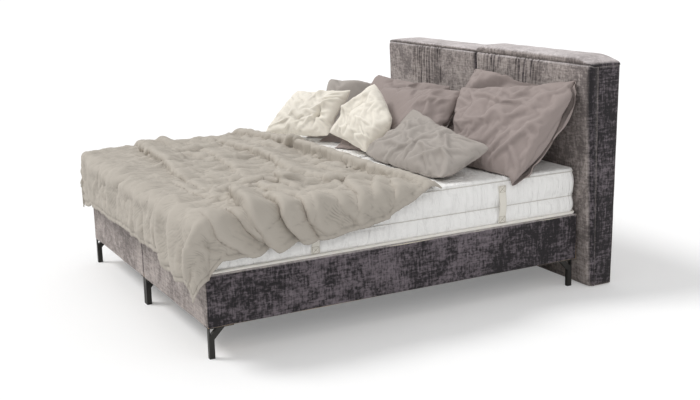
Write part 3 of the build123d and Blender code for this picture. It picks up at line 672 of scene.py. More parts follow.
def mattress_wall(places, outward, run, side):
    """Two padded bands between the seams, puckered most beside a seam."""
    profile = (
        [(MATTRESS_LOW, -0.03), (MATTRESS_LOW, -0.008)]
        + band_profile(MATTRESS_LOW + 0.012, MID_SEAM, 0.010, 12)
        + band_profile(MID_SEAM + 0.002, TOP_SEAM, 0.011, 14)
        + [(TOP_SEAM + 0.003, 0.0), (TOP_SEAM + 0.010, 0.0015), (MATTRESS_TOP - 0.005, -0.005)]
    )
    rings = []
    for height, swell in profile:
        seam = min(abs(height - level) for level in (MID_SEAM, TOP_SEAM, MATTRESS_LOW))
        near_seam = math.exp(-((seam / 0.03) ** 2))
        crease = puckers(run, height, SEED + side) * (0.5 + 0.8 * near_seam)
        out = swell - 0.009 + (crease if swell > 0 else 0)
        rings.append(ring(places, outward, out, height))
    return stacked("wall", rings, FINISHES["mattress_cloth"], caps=())


def mattress_panel(name, low, high, step, height_at):
    """Top or bottom panel; height_at gives its height from x, y and the way to its edge."""
    low = (low.x + PANEL_INSET, low.y + PANEL_INSET)
    high = (high.x - PANEL_INSET, high.y - PANEL_INSET)
    x, y, to_edge, faces = rounded_top(low, high, MATTRESS_ROUND - PANEL_INSET, step)
    points = np.column_stack([x, y, height_at(x, y, to_edge)])
    return mesh_piece(name, points, faces, FINISHES["mattress_cloth"])


def quilted_height(x, y, to_edge):
    """Top panel: rounded at its edge, with a stitched border and quilted diamonds."""
    rise = PANEL_ROUND * (1 - np.exp(-to_edge / PANEL_SOFTNESS))
    border = QUILT_DEPTH * bell(to_edge - BORDER_STITCH, 0.006)
    diagonals = [np.abs(np.sin(np.pi * run / DIAMOND)) for run in (x + y, x - y)]
    quilt = QUILT_DEPTH * (np.sqrt(diagonals[0] * diagonals[1]) - 1)
    return MATTRESS_TOP - PANEL_ROUND + rise - border + np.where(to_edge > 0.05, quilt, 0)


def build_mattress(name, side):
    """One quilted mattress with its bands, pipings and handles."""
    low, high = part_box("mattress_cover_" + name)
    places, outward, run = rounded_walk(low, high, MATTRESS_ROUND, WALL_STEP)
    pieces = [
        mattress_wall(places, outward, run, side),
        mattress_panel("top", low, high, PANEL_STEP, quilted_height),
        mattress_panel("under", low, high, UNDERSIDE_STEP, lambda x, y, _: 0 * x + MATTRESS_LOW),
    ]
    # Cream piping at the bottom; the darker cords of the mid and top seams are painted shade
    for height, out, radius, finish in (
        (MATTRESS_LOW + 0.0075, -0.0025, 0.0075, PIPING),
        (MID_SEAM + 0.001, -0.0065, 0.0018, SEAM_SHADE_CORD),
        (TOP_SEAM + 0.0015, -0.0055, 0.0022, SEAM_SHADE_CORD),
    ):
        cord = [(*p, height) for p in places + outward * out]
        pieces.append(tube("piping", cord, radius, finish, closed=True))
    cover = join("mattress_%s_cloth" % name, pieces)
    inner = ["mattress_%s_%s" % (kind, name) for kind in ("cover", "foam", "springs", "base_cloth")]
    place(cover, "root", "mattress_cloth", *inner)
    build_handles(name, side)


def build_handles(name, side):
    """Webbing handles that bow out a little, sewn down at both ends."""
    low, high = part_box("mattress_handles_" + name)
    straps = []
    width = HANDLE_WIDTH
    share = np.linspace(0, 1, 40)
    across = np.linspace(-width / 2, width / 2, 7)
    for middle in (low.y + width / 2, high.y - width / 2):
        height = low.z + 0.004 + share * (high.z - low.z - 0.008)
        sewn = unit(np.minimum(share, 1 - share) / 0.2)
        bow = HANDLE_BOW * np.sin(np.pi * unit((share - 0.16) / 0.68))
        points = [
            (side * (HANDLE_FACE + 0.003 + b + 0.0005 * abs(a) / width), middle + a * (1 - 0.12 * s), z)
            for z, b, s in zip(height, bow, sewn)
            for a in across
        ]
        faces = grid_faces(len(share), len(across))
        strap = mesh_piece("strap", points, faces, FINISHES["webbing"])
        thicken(strap, HANDLE_THICKNESS)
        straps.append(strap)
        for end in (low.z + 0.006, high.z - 0.006 - STITCH_HEIGHT):
            x = side * (HANDLE_FACE + 0.0048)
            path = [(x, middle + a * width * 0.36, end + b * STITCH_HEIGHT) for a, b in STITCH_PATH]
            straps.append(tube("stitch", path, STITCH_RADIUS, STRAP_THREAD, sides=4))
    handles = join("mattress_%s_straps" % name, straps)
    place(handles, "root", "webbing", "mattress_handles_" + name)


for side_name, side_sign in SIDES:
    build_mattress(side_name, side_sign)

# Bases

VELVET_SLACK = 0.0022
BASE_ROUND = 0.012
BASE_STEP = 0.02
VELVET_ON_BOARD = 0.004
DUST_CLOTH_THICKNESS = 0.0006
DUST_CLOTH_SAG = 0.004
# Notch in the dust cloth round each corner block
BLOCK_WIDTH = 0.091
BLOCK_LENGTH = 0.131


def build_base(name, side):
    """Velvet cover of one base, turned under at the bottom."""
    low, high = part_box("base_cover_" + name)
    places, outward, _ = rounded_walk(low, high, BASE_ROUND, BASE_STEP)
    top = high.z - 0.0005
    profile = [
        (low.z + 0.006, -0.006),
        (low.z + 0.001, -0.005),
        (low.z + 0.0005, -0.002),
        (low.z + 0.004, -0.0003),
    ]
    wall = top - low.z - 0.018
    profile += [(low.z + 0.004 + share * wall, 0.0) for share in np.linspace(0.06, 1, 16)]
    profile += [(top - 0.009, -0.0008), (top - 0.004, -0.003), (top - 0.001, -0.007), (top, -0.013)]
    rings = []
    for height, out in profile:
        slack = VELVET_SLACK * waves([(*p, height) for p in places], 4.5, SEED + side, 2) - 0.0018
        rings.append(ring(places, outward, out + slack, height))
    cover = stacked("base_%s_velvet" % name, rings, VELVET, caps=("upper",))
    thicken(cover, VELVET_ON_BOARD, -1)
    place(cover, "root", "velvet", "base_cover_" + name)
    build_dust_cloth(name)


def build_dust_cloth(name):
    """Thin black cloth under a base, round its corner blocks, sagging a little."""
    low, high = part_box("base_dust_cloth_" + name)
    inner_x = np.linspace(low.x + BLOCK_WIDTH, high.x - BLOCK_WIDTH, 14)
    inner_y = np.linspace(low.y + BLOCK_LENGTH, high.y - BLOCK_LENGTH, 30)
    x = np.array([low.x, *inner_x, high.x])
    y = np.array([low.y, *inner_y, high.y])
    points = []
    for a in x:
        for b in y:
            free = min(a - low.x, high.x - a, b - low.y, high.y - b)
            points.append((a, b, low.z + 0.001 - DUST_CLOTH_SAG * (1 - math.exp(-free / 0.15))))
    rows = len(y)
    corners = {(i, j) for i in (0, len(x) - 2) for j in (0, rows - 2)}
    faces = [f for f in grid_faces(len(x), rows) if divmod(f[0], rows) not in corners]
    cloth = mesh_piece("dust_%s_sheet" % name, points, faces, FINISHES["dust_cloth"])
    thicken(cloth, DUST_CLOTH_THICKNESS)
    place(cloth, "root", "dust_cloth", "base_dust_cloth_" + name)


for side_name, side_sign in SIDES:
    build_base(side_name, side_sign)

# Headboard

panel_low, panel_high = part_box("headboard_panel")
back_low, back_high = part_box("headboard_back_cover")
PAD_BACK = panel_low.y
PAD_FOOT = panel_low.z
PAD_TOP = panel_high.z
HALF_WIDTH = pad_high.x
HEADBOARD_GAP = 0.02
HEADBOARD_LEAN = 0.034
HEADBOARD_DEPTH = 0.142
FRONT_AT_FLOOR = HEAD_Y + HEADBOARD_GAP
FRONT_AT_TOP = FRONT_AT_FLOOR - HEADBOARD_LEAN
BACK_AT_FLOOR = FRONT_AT_FLOOR + HEADBOARD_DEPTH
BACK_AT_TOP = back_high.y
SEAM_ROUND = 0.034
OUTER_ROUND = 0.03
BACK_THICKNESS = 0.002
EDGE_SOFTNESS = 0.006
PAD_ROLL = 0.008
SIDE_POINTS = 26
SIDE_SWELL_OUT = 0.0065
CROWN_FULLNESS = 0.011
CROWN_END = 0.075
CROWN_RIM = 0.008
# Over this way from its outer end the crown's dome falls to nothing
CROWN_FALL = 0.13
CROWN_POINTS = 25
# Powers under 1 make the crown's section squarer, to the front and upwards
CROWN_POWER_Y = 0.55
CROWN_POWER_Z = 0.42
# The pleats run on over the crown for this way, at half their depth
PLEATS_ON_CROWN = 0.06
# Radius of the outer top corner, the zone below the top in which it sets in, and the share of
# its full height that the crown's dome has
TOP_ROUND = {"left": 0.03, "right": 0.012}
TOP_ZONE = 0.09
DOME_SHARE = {"left": 0.4, "right": 1}
# Pleats sewn into the top seam: where a group starts and ends along each pad, how many
PLEATS = {
    "left": ((0.33, 0.5, 8), (0.52, 0.66, 6)),
    "right": ((0.09, 0.25, 7), (0.38, 0.6, 10)),
}
PLEAT_DEPTH = 0.0095
PLEAT_LENGTH = 0.3
# How much pleats differ: in place and length, and in depth as a share
PLEAT_SHIFT = 0.012
PLEAT_REACH = 0.25
PLEAT_CHANGE = 0.6
# Width of a pleat's valley, and the ridge beside it: way from the valley, width and share
VALLEY_WIDTH = 0.0055
RIDGE_PLACE = 0.013
RIDGE_WIDTH = 0.008
RIDGE_SHARE = 0.45


def velvet_pad(name, loops, node):
    """Padded velvet piece of the main body, from stacked loops of points."""
    pad = stacked(name, loops, VELVET)
    place(pad, "root", "velvet", node)


def leaning(height, at_floor, at_top):
    """Y of the headboard's leaning front or back at a height."""
    share = (height - PAD_FOOT) / (PAD_TOP - PAD_FOOT)
    return at_floor + share * (at_top - at_floor)


def pleat_lines(name):
    """Place, depth and length of each pleat of one pad."""
    lines = []
    for index, (start, end, count) in enumerate(PLEATS[name]):
        for number in range(count):
            share = (number + 0.5) / count
            jitter = noise.noise(Vector((index * 7.3, number * 2.9, len(name))))
            place_x = start + (end - start) * share + PLEAT_SHIFT * jitter
            length = PLEAT_LENGTH + PLEAT_REACH * jitter
            lines.append((place_x, PLEAT_DEPTH * (1 + PLEAT_CHANGE * jitter), length))
    return lines


def pleat_depth(name, x, z):
    """How deep the pleats cut into a pad at one place."""
    depth = np.zeros(len(x))
    for place_x, cut, length in pleat_lines(name):
        sway = 0.006 * np.sin(14 * z + 90 * place_x)
        fade = unit((z - (PAD_TOP - length)) / length) ** 0.7
        beside = x - place_x - sway
        ridge = RIDGE_SHARE * bell(beside - RIDGE_PLACE, RIDGE_WIDTH)
        depth += cut * fade * (bell(beside, VALLEY_WIDTH) - ridge)
    return depth


def rounding(radius):
    """Quarter circle: ways in from an edge, with how far the front is set back there."""
    turns = np.linspace(0, np.pi / 2, 6)
    return [(radius * (1 - math.sin(a)), radius * (1 - math.cos(a))) for a in turns]


def pad_stations():
    """Places across a pad with how far its front is set back there, closely spaced."""
    seam = sorted(rounding(SEAM_ROUND))
    outer = sorted((HALF_WIDTH - inward, back) for inward, back in rounding(OUTER_ROUND))
    flat = np.arange(SEAM_ROUND + 0.004, HALF_WIDTH - OUTER_ROUND - 0.002, 0.0045)
    return np.array(seam + [(x, 0.0) for x in flat] + outer)


def corner_drop(x, radius):
    """How far the outer top corner is rounded down."""
    past = unit((x - (HALF_WIDTH - radius)) / radius)
    return radius * (1 - np.sqrt(np.maximum(0, 1 - past**2)))


def build_pad(name, side):
    """Leaning front pad with a crowned upper part and pleats under its top seam."""
    stations = pad_stations()
    x, back = stations[:, 0], stations[:, 1]
    levels = np.concatenate(
        [np.linspace(PAD_FOOT, MATTRESS_TOP, 26), np.linspace(MATTRESS_TOP, PAD_TOP, 56)[1:]]
    )
    fullness = np.sqrt(np.maximum(0, np.sin(np.pi * x / HALF_WIDTH)))
    loops = []
    for level in levels:
        z = np.full(len(x), level)
        share = max(0, (level - MATTRESS_TOP - 0.02) / (PAD_TOP - MATTRESS_TOP - 0.02))
        crown = CROWN_FULLNESS * fullness * math.sin(math.pi * min(1, share)) ** 0.8
        edge = min(level - PAD_FOOT, PAD_TOP - level)
        roll = PAD_ROLL * math.exp(-edge / EDGE_SOFTNESS)
        slack = VELVET_SLACK * waves([(a, level, side) for a in x], 7, SEED, 2)
        front_y = leaning(level, FRONT_AT_FLOOR, FRONT_AT_TOP)
        y = front_y + back - crown + roll + slack + pleat_depth(name, x, z)
        near_top = max(0, level - PAD_TOP + TOP_ZONE) / TOP_ZONE
        rise = z - corner_drop(x, TOP_ROUND[name]) * near_top
        front = np.column_stack([side * x, y, rise])
        rear = np.array([(side * x[-1], PAD_BACK, rise[-1]), (side * x[0], PAD_BACK, level)])
        loops.append(np.concatenate([front, rear]))
    velvet_pad("headboard_%s_front" % name, loops, "headboard_pad_" + name)


def build_crown(name, side):
    """Pad along the top of the headboard, domed, with slack cloth over its edges."""
    low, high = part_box("headboard_crown_" + name)
    inner = sorted(inward for inward, _ in rounding(CROWN_END))
    outer = sorted(HALF_WIDTH - inward for inward, _ in rounding(OUTER_ROUND))
    x = np.concatenate([inner, np.arange(CROWN_END + 0.008, HALF_WIDTH - OUTER_ROUND, 0.008), outer])
    dome = (high.z - low.z - CROWN_RIM) * DOME_SHARE[name]
    loops = []
    around = np.linspace(0, np.pi, CROWN_POINTS)
    for place_x in x:
        round_end = math.sqrt(1 - max(0, 1 - place_x / CROWN_END) ** 2)
        past = max(0, (place_x - (HALF_WIDTH - OUTER_ROUND)) / OUTER_ROUND)
        back = OUTER_ROUND * (1 - math.sqrt(max(0, 1 - past**2)))
        fall = min(1, (HALF_WIDTH - place_x) / CROWN_FALL)
        height = CROWN_RIM + dome * math.sin(math.pi / 2 * fall) * (0.15 + 0.85 * round_end)
        base = PAD_TOP - corner_drop(place_x, TOP_ROUND[name])
        front = FRONT_AT_TOP + back + 0.004 + 0.008 * (1 - round_end)
        rear = BACK_AT_TOP - BACK_THICKNESS
        middle, half = (front + rear) / 2, (rear - front) / 2
        y = middle - half * np.sign(np.cos(around)) * np.abs(np.cos(around)) ** CROWN_POWER_Y
        z = base + 0.002 + (height - 0.002) * np.sin(around) ** CROWN_POWER_Z
        across = np.full(CROWN_POINTS, place_x)
        pleats = 0.5 * pleat_depth(name, across, np.full(CROWN_POINTS, PAD_TOP))
        pleats = pleats * unit(1 - (y - front) / PLEATS_ON_CROWN)
        slack = 0.0025 * waves([(place_x, a, side) for a in y], 9, SEED + 3, 2)
        z = z - pleats + slack * np.sin(around)
        loops.append(np.column_stack([side * across, y + pleats, z]))
    velvet_pad("headboard_%s_top" % name, loops, "headboard_crown_" + name)


def build_side_panel(name, side):
    """Upholstered side of the headboard, slightly crowned, with rolled edges."""
    low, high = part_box("headboard_side_panel_" + name)
    loops = []
    inner_x = side * (HALF_WIDTH - 0.008)
    for level in np.linspace(low.z, high.z - 0.001, 40):
        rear = leaning(level, BACK_AT_FLOOR, BACK_AT_TOP)
        y = np.linspace(PAD_BACK, rear, SIDE_POINTS)
        edge = np.minimum(y - PAD_BACK, rear - y)
        end = min(level - low.z, high.z - level)
        swell = SIDE_SWELL_OUT * (1 - np.exp(-edge / EDGE_SOFTNESS))
        swell = swell * (1 - 0.5 * math.exp(-end / EDGE_SOFTNESS))
        slack = 0.0015 * waves([(side, a, level) for a in y], 8, SEED + 5, 2)
        outer_x = side * (HALF_WIDTH - SIDE_SWELL_OUT + swell + slack)
        outer = np.column_stack([outer_x, y, np.full(SIDE_POINTS, level)])
        inner = np.array([(inner_x, rear, level), (inner_x, PAD_BACK, level)])
        loops.append(np.concatenate([outer, inner]))
    velvet_pad("headboard_%s_side" % name, loops, "headboard_side_panel_" + name)


def build_back_cover():
    """Velvet stretched over the back of the headboard."""
    half = back_high.x
    points = []
    across = np.linspace(-half, half, 60)
    levels = np.linspace(back_low.z, back_high.z - 0.001, 40)
    rows, columns = len(levels), len(across)
    for level in levels:
        rear = leaning(level, BACK_AT_FLOOR, BACK_AT_TOP)
        dip = 0.0008 * waves([(a, 3.0, level) for a in across], 3, SEED)
        points.extend(np.column_stack([across, rear - BACK_THICKNESS + dip, np.full(columns, level)]))
    cover = mesh_piece("headboard_back_velvet", points, grid_faces(rows, columns), VELVET)
    thicken(cover, BACK_THICKNESS)
    place(cover, "root", "velvet", "headboard_back_cover")


for side_name, side_sign in SIDES:
    build_pad(side_name, side_sign)
    build_crown(side_name, side_sign)
    build_side_panel(side_name, side_sign)
build_back_cover()

# Duvet

DUVET_TOP = MATTRESS_TOP + 0.013
DUVET_ROUND = 0.045
DUVET_STEP = 0.0145
# Size of the duvet's grid when spread out
SPREAD_WIDTH = BED_WIDTH + 0.45
SPREAD_LENGTH = 1.36
DUVET_GROWTH = 0.035
# Stiffness of the cloth while the broad forms settle, and then the fine ones
BROAD_BENDING = 4.0
FINE_BENDING = 0.04
BROAD_FRAMES = (16, 5)
FINE_FRAMES = (7, 3)
# How firmly points stay in place: everywhere, more at the rim, and where the duvet is smooth
BROAD_HOLD = 0.25
RIM_HOLD = 0.45
CALM_HOLD = 0.42
FINE_HOLD = 0.4
FINE_CALM_HOLD = 0.2
# The head edge curls down over this way, and ends this much below DUVET_TOP
HEAD_CURL = 0.06
HEAD_DROP = 0.004
SIDE_X = BED_WIDTH / 2 + 0.005
END_Y = FOOT_Y - 0.004
DUVET_THICKNESS = 0.022
HEM_THINNESS = 0.25
# Hem heights: along the near and the far side (y, z), and across the foot (x, z)
NEAR_HEM = [(-1.2, 0.37), (-1.075, 0.375), (-1.045, 0.41), (-1.0, 0.448), (-0.96, 0.447)]
NEAR_HEM += [(-0.82, 0.455), (-0.71, 0.48), (-0.59, 0.47), (-0.3, 0.5), (-0.23, 0.512)]
NEAR_HEM += [(-0.02, 0.604), (0.1, 0.637)]
FAR_HEM = [(-1.2, 0.4), (-1.06, 0.41), (-0.98, 0.43), (-0.6, 0.46), (0.1, 0.52)]
FOOT_HEM = [(-1.2, 0.4), (-0.98, 0.39), (-0.9, 0.35), (-0.8, 0.36), (-0.7, 0.39), (0.5, 0.39)]
FOOT_HEM += [(0.62, 0.345), (0.8, 0.34), (0.95, 0.365)]
# Folds: points along the crest, in metres from the middle and the foot of the bed, then
# height, width towards the foot and width towards the head. A point past the bed's edge
# lies on the hanging part. The first ten are also in the CAD solid
ROLL_CREST = [(-0.9, 0.935), (-0.45, 0.995), (-0.2, 1.025), (0.1, 1.035), (0.43, 1.03)]
ROLL_CREST += [(0.6, 1.045), (0.75, 1.075), (0.92, 1.11)]
FOLDS = [
    (((-0.9, 0.32), (-0.54, 0.286), (-0.23, 0.27), (0.16, 0.2)), 0.05, 0.033, 0.06),
    (((0.64, 0.293), (0.86, 0.24), (0.97, 0.223)), 0.045, 0.033, 0.055),
    (((-0.66, 0.73), (-0.24, 0.77), (0.03, 0.755), (0.36, 0.7)), 0.045, 0.035, 0.055),
    (ROLL_CREST, 0.07, 0.045, 0.06),
    (((0.29, 0.64), (0.45, 0.59), (0.58, 0.555)), 0.035, 0.022, 0.055),
    (((0.25, 0.71), (0.45, 0.74), (0.6, 0.77), (0.67, 0.92)), 0.025, 0.04, 0.05),
    (((0.44, 0.36), (0.447, 0.48), (0.57, 0.66)), 0.022, 0.03, 0.05),
    (((0.71, 0.815), (0.93, 0.76), (1.05, 0.72)), 0.028, 0.03, 0.045),
    (((0.55, 0.44), (0.8, 0.46), (0.97, 0.5), (1.08, 0.56)), 0.025, 0.03, 0.05),
    (((-0.5, 0.56), (-0.2, 0.54), (0.1, 0.5), (0.3, 0.46)), 0.022, 0.03, 0.05),
    (((0.1, 0.21), (0.49, 0.18), (0.65, 0.185), (0.8, 0.2)), 0.018, 0.02, 0.05),
    (((-0.93, 0.45), (-0.73, 0.467)), 0.03, 0.04, 0.04),
    (((-0.41, 0.895), (-0.18, 0.908)), 0.03, 0.03, 0.03),
    (((0.72, 0.96), (0.85, 0.91), (1.0, 0.79)), 0.03, 0.025, 0.035),
    (((0.8, 1.0), (0.93, 0.95), (1.0, 0.895)), 0.02, 0.022, 0.035),
    (((0.86, 0.0), (0.93, 0.041), (1.02, 0.126), (1.1, 0.216)), 0.03, 0.026, 0.04),
    (((0.7, 0.28), (0.95, 0.259), (1.06, 0.325), (1.12, 0.38)), 0.04, 0.026, 0.045),
    (((0.733, 0.396), (0.963, 0.374), (1.07, 0.447)), 0.032, 0.022, 0.036),
    (((0.85, 0.55), (0.987, 0.534), (1.065, 0.585)), 0.02, 0.02, 0.03),
    (((0.8, 0.335), (0.96, 0.32), (1.06, 0.39), (1.13, 0.43)), -0.03, 0.016, 0.018),
    (((0.84, 0.1), (0.95, 0.13), (1.04, 0.2), (1.1, 0.29)), -0.024, 0.016, 0.02),
    (((0.85, 0.46), (0.99, 0.445), (1.08, 0.5)), -0.022, 0.014, 0.018),
    (((0.8, 0.62), (0.95, 0.66), (1.05, 0.76)), 0.016, 0.03, 0.022),
    (((-0.3, 0.95), (-0.22, 1.03)), 0.03, 0.02, 0.02),
    (((0.2, 0.13), (0.5, 0.12), (0.68, 0.15)), 0.016, 0.016, 0.03),
    (((-0.7, 0.88), (-0.3, 0.86), (0.1, 0.84)), 0.02, 0.03, 0.05),
    (((0.3, 0.86), (0.5, 0.89)), 0.02, 0.03, 0.05),
    (((0.6, 0.05), (0.58, -0.1), (0.6, -0.3)), 0.022, 0.035, 0.035),
    (((0.76, 0.02), (0.79, -0.12), (0.8, -0.33)), 0.035, 0.035, 0.035),
    (((0.97, 0.0), (1.0, -0.12), (1.02, -0.3)), 0.03, 0.03, 0.03),
    (((0.2, 0.05), (0.24, -0.12), (0.22, -0.26)), 0.014, 0.05, 0.05),
    (((-0.25, 0.05), (-0.2, -0.12), (-0.22, -0.26)), 0.014, 0.05, 0.05),
    (((-0.62, 0.05), (-0.58, -0.12), (-0.6, -0.26)), 0.016, 0.05, 0.05),
    (((-0.84, 0.05), (-0.82, -0.12), (-0.84, -0.3)), 0.022, 0.04, 0.04),
]
# Head edge of the duvet: (x, distance from the foot of the bed)
HEAD_EDGE = [(-1.2, 0.98), (-0.8, 0.995), (-0.45, 1.05), (-0.2, 1.085), (0.3, 1.09), (0.6, 1.105)]
HEAD_EDGE += [(0.8, 1.14), (0.93, 1.17), (1.2, 1.17)]
SMALL_CREASES = 190
# Where the small creases lie: x, and distance from the foot. Past NEAR_FLAP they turn
CREASE_X = (-0.95, 1.1)
CREASE_Y = (-0.3, 1.0)
NEAR_FLAP = 0.85
CREASE_BOW = 0.25
# Way the small creases run, in degrees from +X, and its spread
FOOT_HEADING = (-80, 22)
NEAR_HEADING = (45, 18)
TOP_HEADING = (20, 40)
# Least and most: length, width, and height as a share of the width
CREASE_LENGTH = (0.1, 0.34)
CREASE_WIDTH = (0.009, 0.016)
CREASE_RISE = (0.4, 1.0)
HEM_WIDTH = 0.024
HEM_SEAM_WIDTH = 0.006
HEM_SEAM_DEPTH = 0.004
FOLD_LEAN = 0.95
BROAD_WAVES = 0.006
DUVET_REST = 0.012
LEAST_REACH = 0.03
# Round the far foot corner, left of SNUG_X and within SNUG_Y of the foot, the duvet lies
# close: its bend is tighter and its folds are lower by these shares
SNUG_X = -0.6
SNUG_Y = 0.3
SNUG_FADE = 0.25
SNUG_BEND = 0.5
SNUG_FOLDS = 0.75
# How far the hanging part stands out, as a share of its length, and how much more at corners
FLARE = 0.03
CORNER_FLARE = 0.2
# Shares by which corners hang down less, and by which they flare less where the duvet is snug
CORNER_SHORTER = 0.1
SNUG_FLARE = 0.7
# Beside the mattress the cloth's middle stays this far out from SIDE_X and END_Y. Over the
# mattress the lift to its resting height sets in softly, over this way
SIDE_CLEARANCE = 0.006
FOOT_CLEARANCE = 0.008
TOP_SOFTNESS = 0.006
# Along the foot the duvet is pulled smooth, this far from the foot and up to this x
CALM_LENGTH = 0.24
CALM_LENGTH_FADE = 0.1
CALM_WIDTH = 0.75
CALM_WIDTH_FADE = 0.2
# Where it hangs, that fades over this way down to this share
CALM_DROP = 0.12
CALM_LEAST = 0.2


def hang(plan, lift):
    """Bend the unfolded duvet over the edges of the bed, lifted along its outer normal."""
    x, y = plan[:, 0], plan[:, 1]
    side = np.sign(x)
    snug = unit((SNUG_X - x) / SNUG_FADE) * unit((FOOT_Y + SNUG_Y - y) / SNUG_FADE)
    radius = DUVET_ROUND * (1 - SNUG_BEND * snug)
    lift = lift * (1 - SNUG_FOLDS * snug)
    past_side = np.maximum(0, np.abs(x) - SIDE_X)
    past_foot = np.maximum(0, END_Y - y)
    reach = np.hypot(past_side, past_foot)
    to_side = np.where(reach > 0, past_side / np.maximum(reach, 1e-9), 0)
    to_foot = np.where(reach > 0, past_foot / np.maximum(reach, 1e-9), 0)
    corner = 2 * to_side * to_foot
    reach = reach * (1 - CORNER_SHORTER * corner)
    turn = np.minimum(reach, np.pi / 2 * radius) / radius
    straight = np.maximum(0, reach - np.pi / 2 * radius)
    flare = straight * (FLARE + CORNER_FLARE * corner * (1 - SNUG_FLARE * snug))
    out = radius * np.sin(turn) + flare + lift * np.sin(turn)
    down = radius * (1 - np.cos(turn)) + np.sqrt(straight**2 - flare**2)
    x = np.where(past_side > 0, side * (SIDE_X + to_side * out), x)
    y = np.where(past_foot > 0, END_Y - to_foot * out, y)
    return np.column_stack([x, y, DUVET_TOP - down + lift * np.cos(turn)])


def drop_to_reach(height):
    """Length of cloth past the bed's edge that brings a hem to a height."""
    straight = DUVET_TOP - DUVET_ROUND - height
    return np.maximum(LEAST_REACH, np.pi / 2 * DUVET_ROUND + straight)


def clear_bed(points):
    """Lift or push out the points that came nearer to the mattress than they may."""
    x, y, z = points.T
    gap = TOP_SOFTNESS
    over = np.minimum.reduce([SIDE_X - np.abs(x), y - END_Y])
    depth = MATTRESS_TOP + DUVET_REST - z
    lift = np.where((over > 0) & (depth > -gap), gap / (1 + (depth + gap) / gap) + depth, 0)
    points[:, 2] += np.where((depth > -gap) & (over > 0.02), lift, 0)
    low = (z < MATTRESS_TOP) & (over < 0.05)
    aside = low & (y > END_Y - 0.002) & (np.abs(x) < SIDE_X + SIDE_CLEARANCE)
    points[:, 0] = np.where(aside, np.sign(x) * (SIDE_X + SIDE_CLEARANCE), points[:, 0])
    before = low & (np.abs(x) < SIDE_X) & (y > END_Y - FOOT_CLEARANCE)
    points[:, 1] = np.where(before, END_Y - FOOT_CLEARANCE, points[:, 1])
    return points


def calm_share(x, y):
    """How smooth the duvet lies at a place, measured from the bed's foot: 1 along the foot edge."""
    hanging = np.clip(1 + y / CALM_DROP, CALM_LEAST, 1)
    beside = unit((CALM_WIDTH - x) / CALM_WIDTH_FADE)
    return hanging * unit((CALM_LENGTH - y) / CALM_LENGTH_FADE) * beside


def small_creases():
    """Short creases strewn over the duvet, each along the way the cloth is pulled there."""
    draw = np.random.default_rng(SEED)
    creases = []
    for _ in range(SMALL_CREASES):
        x, y = draw.uniform(*CREASE_X), draw.uniform(*CREASE_Y)
        if y < 0:
            heading = draw.normal(*FOOT_HEADING)
        elif x > NEAR_FLAP:
            heading = draw.normal(*NEAR_HEADING)
        else:
            heading = draw.normal(*TOP_HEADING)
        length = draw.uniform(*CREASE_LENGTH)
        run = direction_of(heading) * length / 2
        bow = np.array((-run[1], run[0])) * draw.normal(0, CREASE_BOW)
        middle = np.array((x, y))
        width = draw.uniform(*CREASE_WIDTH)
        crest = (middle - run, middle + bow, middle + run)
        rise = draw.uniform(*CREASE_RISE) * width * (1 - 0.5 * calm_share(x, y))
        creases.append((crest, rise, width, 1.7 * width))
    return creases


def crease_duvet(cover):
    """Raise the small creases along the surface's own normals, and sink the hem's seam."""
    plan = read(cover.data.attributes["plan"].data, "vector")
    normals = read(cover.data.vertex_normals, "vector")
    rise, _ = fold_shape(plan[:, :2] - (0, FOOT_Y), small_creases(), sharpness=1.4)
    rise -= HEM_SEAM_DEPTH * bell(plan[:, 2] - HEM_WIDTH, HEM_SEAM_WIDTH)
    set_points(cover, points_of(cover) + normals * rise[:, None])


def spread_duvet(u, v):
    """Unfolded duvet: place of each point, its way to the head edge and to the nearest hem."""
    y = FOOT_Y + v
    for _ in range(4):
        near = SIDE_X + drop_to_reach(np.interp(y, *zip(*NEAR_HEM)))
        far = -SIDE_X - drop_to_reach(np.interp(y, *zip(*FAR_HEM)))
        x = far + u * (near - far)
        foot = END_Y - drop_to_reach(np.interp(x, *zip(*FOOT_HEM)))
        head = FOOT_Y + np.interp(x, *zip(*HEAD_EDGE))
        y = foot + v * (head - foot)
    width, length = near - far, head - foot
    to_hem = np.minimum.reduce([u * width, (1 - u) * width, v * length, (1 - v) * length])
    return np.column_stack([x, y]), head - y, to_hem


